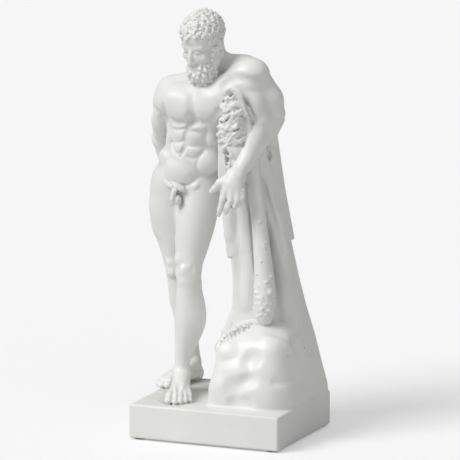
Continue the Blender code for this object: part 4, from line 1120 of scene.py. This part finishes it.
def spread(tree, value, low, high, lowest=0.0, highest=1.0):
    # a value between low and high stretched to lowest and highest
    node = addNode(tree, "ShaderNodeMapRange")
    wire(tree, value, node.inputs["Value"])
    for name, number in (("From Min", low), ("From Max", high), ("To Min", lowest), ("To Max", highest)):
        node.inputs[name].default_value = number
    return node.outputs["Result"]


def newFinish(name):
    material = bpy.data.materials.new(name)
    material.use_nodes = True
    tree = material.node_tree
    return material, tree, tree.nodes["Principled BSDF"]


def roughen(tree, shader, place, grain, look):
    # the grain's height as a bump on the shader's normal
    height = addNode(tree, "ShaderNodeGroup", node_tree=grain)
    for name, value in look["grain"].items():
        height.inputs[name].default_value = value
    wire(tree, place, height.inputs["Coordinates"])
    bump = addNode(tree, "ShaderNodeBump")
    bump.inputs["Strength"].default_value = look["bump"]
    bump.inputs["Distance"].default_value = look["bumpHeight"]
    wire(tree, height.outputs["Height"], bump.inputs["Height"])
    wire(tree, bump.outputs["Normal"], shader.inputs["Normal"])
    return height.outputs["Height"]


# the third colour is painted shade, laid over the cast where it is closed in
castLook = {
    "light": (0.83, 0.83, 0.80), "shade": (0.77, 0.775, 0.75), "recessShade": (0.46, 0.455, 0.42),
    "cloudScale": 14.0, "cloudDetail": 5.0, "recessShadeShare": 0.75, "roughness": 0.36, "roughest": 0.46,
    "grain": {}, "bump": 0.25, "bumpHeight": 0.0004,
}


def castFinish(grain):
    # cloudy between two near whites, greyer where it is closed in: painted shade in creases and hollows
    material, tree, shader = newFinish("castFinish")
    place = addNode(tree, "ShaderNodeTexCoord").outputs["Object"]
    cloud = addNode(tree, "ShaderNodeTexNoise")
    cloud.inputs["Scale"].default_value = castLook["cloudScale"]
    cloud.inputs["Detail"].default_value = castLook["cloudDetail"]
    wire(tree, place, cloud.inputs["Vector"])
    # painted shade: how closed in each point is, read from the mesh
    recessShade = addNode(tree, "ShaderNodeAttribute", attribute_name="recessShade").outputs["Fac"]
    body = mixColours(tree, spread(tree, cloud.outputs["Fac"], 0.35, 0.7), castLook["light"],
            castLook["shade"])
    colour = mixColours(tree, spread(tree, recessShade, 0.25, 1.0, 0.0, castLook["recessShadeShare"]), body,
            castLook["recessShade"])
    wire(tree, colour, shader.inputs["Base Color"])
    roughness = spread(tree, cloud.outputs["Fac"], 0.3, 0.7, castLook["roughness"], castLook["roughest"])
    wire(tree, roughness, shader.inputs["Roughness"])
    roughen(tree, shader, place, grain, castLook)
    return material


feltLook = {
    "light": (0.36, 0.35, 0.33), "shade": (0.24, 0.235, 0.22), "roughness": 0.95,
    "grain": {"Grain Size": 2500.0, "Wave Size": 600.0}, "bump": 0.6, "bumpHeight": 0.0003,
}


def feltFinish(grain):
    # its colour follows its nap
    material, tree, shader = newFinish("feltFinish")
    shader.inputs["Roughness"].default_value = feltLook["roughness"]
    place = addNode(tree, "ShaderNodeTexCoord").outputs["Object"]
    height = roughen(tree, shader, place, grain, feltLook)
    colour = mixColours(tree, spread(tree, height, 0.3, 0.7), feltLook["shade"], feltLook["light"])
    wire(tree, colour, shader.inputs["Base Color"])
    return material


# The cast piece

castPiece = {"step": 0.8, "quickStep": 1.3, "triangles": 192000}


def recessShadeOf(clay, points, normals):
    # how closed in a point is, the mask of the painted shade in creases and hollows: what other clay takes
    # from the free depth at three distances out from it
    total = 0
    for reach, share in ((1.6, 0.45), (3.5, 0.35), (8.0, 0.2)):
        free = clay.read(points + normals * reach) / reach
        total = total + share * np.clip(1 - free, 0, 1)
    return total


def castStatue():
    low, high = (np.array(corner) * 1000 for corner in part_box("statue"))
    wide, deep = plinthLook["width"] / 2, plinthLook["depth"] / 2
    # the plinth's right side, front and underside are the solid's own
    shift = vec(high[0] - wide, low[1] + deep, low[2] + plinthLook["tall"] - plinthLook["top"])
    step = castPiece["step"]
    clay = wholeCarving(step)
    print("carved, step", step)
    points, faces = biggestBody(*skinOf(clay))
    print("skinned,", len(faces), "faces")
    piece = bpy.data.objects.new("castStatue", meshFrom("castStatue", (points + shift) / 1000, faces))
    bpy.context.scene.collection.objects.link(piece)
    thin = piece.modifiers.new("thin", 'DECIMATE')
    thin.ratio = min(castPiece["triangles"] / (2 * len(faces)), 1.0)
    thin.use_collapse_triangulate = True
    graph = bpy.context.evaluated_depsgraph_get()
    mesh = bpy.data.meshes.new_from_object(piece.evaluated_get(graph))
    piece.modifiers.clear()
    piece.data = mesh
    mesh.shade_smooth()
    count = len(mesh.vertices)
    places, normals = np.empty(count * 3), np.empty(count * 3)
    mesh.vertices.foreach_get("co", places)
    mesh.vertices.foreach_get("normal", normals)
    # how closed in each point is, kept on the mesh as the mask of the painted shade
    recessShade = recessShadeOf(clay, places.reshape(-1, 3) * 1000 - shift, normals.reshape(-1, 3))
    mesh.attributes.new("recessShade", 'FLOAT', 'POINT').data.foreach_set("value", recessShade.astype(np.float32))
    print("cast piece,", len(mesh.polygons), "triangles")
    return piece


# Light, floor and camera

studio = {
    "floor": (0.66, 0.66, 0.66), "floorGlow": 0.32, "horizon": 0.10, "zenith": 0.62,
    "floorRadius": 6, "floorSides": 96, "keyStrength": 2.1, "keyAngle": 32.0, "keyFrom": (-0.52, -0.62, 0.72),
    "fillStrength": 0.25, "fillAngle": 60.0, "fillFrom": (0.9, -0.5, 0.35),
}


def sunFrom(name, direction, strength, angle):
    light = bpy.data.lights.new(name, 'SUN')
    light.energy = strength
    light.angle = np.radians(angle)
    lamp = bpy.data.objects.new(name, light)
    lamp.matrix_world = lookFrom(unit(direction) * 5, (0, 0, 0))
    bpy.context.scene.collection.objects.link(lamp)


def studioAir():
    # a dome that brightens from the horizon to overhead
    world = bpy.data.worlds.new("studioAir")
    world.use_nodes = True
    tree = world.node_tree
    direction = addNode(tree, "ShaderNodeTexCoord").outputs["Generated"]
    parts = addNode(tree, "ShaderNodeSeparateXYZ")
    wire(tree, direction, parts.inputs[0])
    strength = spread(tree, parts.outputs["Z"], 0.0, 1.0, studio["horizon"], studio["zenith"])
    back = tree.nodes["Background"]
    back.inputs["Color"].default_value = (1, 1, 1, 1)
    wire(tree, strength, back.inputs["Strength"])
    bpy.context.scene.world = world


def lookFrom(place, target):
    # a matrix at place whose -Z looks at target, with its X level
    away = (Vector(place) - Vector(target)).normalized()
    level = Vector((0, 0, 1)).cross(away).normalized()
    steep = away.cross(level)
    axes = Matrix((level, steep, away)).transposed().to_4x4()
    return Matrix.Translation(Vector(place)) @ axes


def floorDisc():
    # thin triangles from the middle out to a wide circle
    radius, sides = studio["floorRadius"], studio["floorSides"]
    angle = np.linspace(0, 2 * np.pi, sides + 1)[:-1]
    edge = np.stack([radius * np.cos(angle), radius * np.sin(angle), 0 * angle], 1)
    points = np.concatenate([[[0, 0, 0]], edge])
    i = np.arange(sides)
    faces = np.stack([0 * i, 1 + i, 1 + (i + 1) % sides], 1)
    disc = bpy.data.objects.new("paleFloor", meshFrom("paleFloor", points, faces))
    bpy.context.scene.collection.objects.link(disc)
    disc.data.materials.append(floorFinish())
    return disc


def floorFinish():
    # pale matt paint that the camera sees a little brighter than it lights the piece
    material, tree, shader = newFinish("floorPaint")
    shader.inputs["Base Color"].default_value = (*studio["floor"], 1)
    shader.inputs["Roughness"].default_value = 0.9
    shader.inputs["Specular IOR Level"].default_value = 0.1
    shader.inputs["Emission Color"].default_value = (1, 1, 1, 1)
    seen = addNode(tree, "ShaderNodeLightPath").outputs["Is Camera Ray"]
    wire(tree, spread(tree, seen, 0.0, 1.0, 0.0, studio["floorGlow"]), shader.inputs["Emission Strength"])
    return material


shot = {
    "azimuth": 23.1, "elevation": 11.6, "distance": 9.0, "pixelsPerMetre": 860.0, "imagePixels": 460,
    "targetHeight": 0.2412, "sensor": 36, "farthest": 100,
}


def camera():
    # square to the line of sight at the given angles, far off with a long lens
    low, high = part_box("statue")
    a, e = np.radians([shot["azimuth"], shot["elevation"]])
    backward = vec(np.sin(a) * np.cos(e), -np.cos(a) * np.cos(e), np.sin(e))
    target = vec(high[0] - plinthLook["width"] / 2000, low[1] + plinthLook["depth"] / 2000,
            shot["targetHeight"])
    lens = bpy.data.cameras.new("camera")
    lens.sensor_width = shot["sensor"]
    lens.lens = shot["sensor"] * shot["pixelsPerMetre"] * shot["distance"] / shot["imagePixels"]
    lens.clip_end = shot["farthest"]
    view = bpy.data.objects.new("camera", lens)
    view.matrix_world = lookFrom(target + backward * shot["distance"], target)
    bpy.context.scene.collection.objects.link(view)
    bpy.context.scene.camera = view


camera()
floor = floorDisc()
sunFrom("key", studio["keyFrom"], studio["keyStrength"], studio["keyAngle"])
sunFrom("fill", studio["fillFrom"], studio["fillStrength"], studio["fillAngle"])
studioAir()
bpy.context.scene.view_settings.view_transform = 'Standard'
print("stage set")

grain = grainGroup()
statue = castStatue()
statue.data.materials.append(castFinish(grain))
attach(statue, "root")
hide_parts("statue")
felt = feltFinish(grain)
for corner in ("front_left", "front_right", "back_left", "back_right"):
    pad = bpy.data.objects["corner_pad_" + corner]
    pad.data.materials.clear()
    pad.data.materials.append(felt)
print("pieces finished")
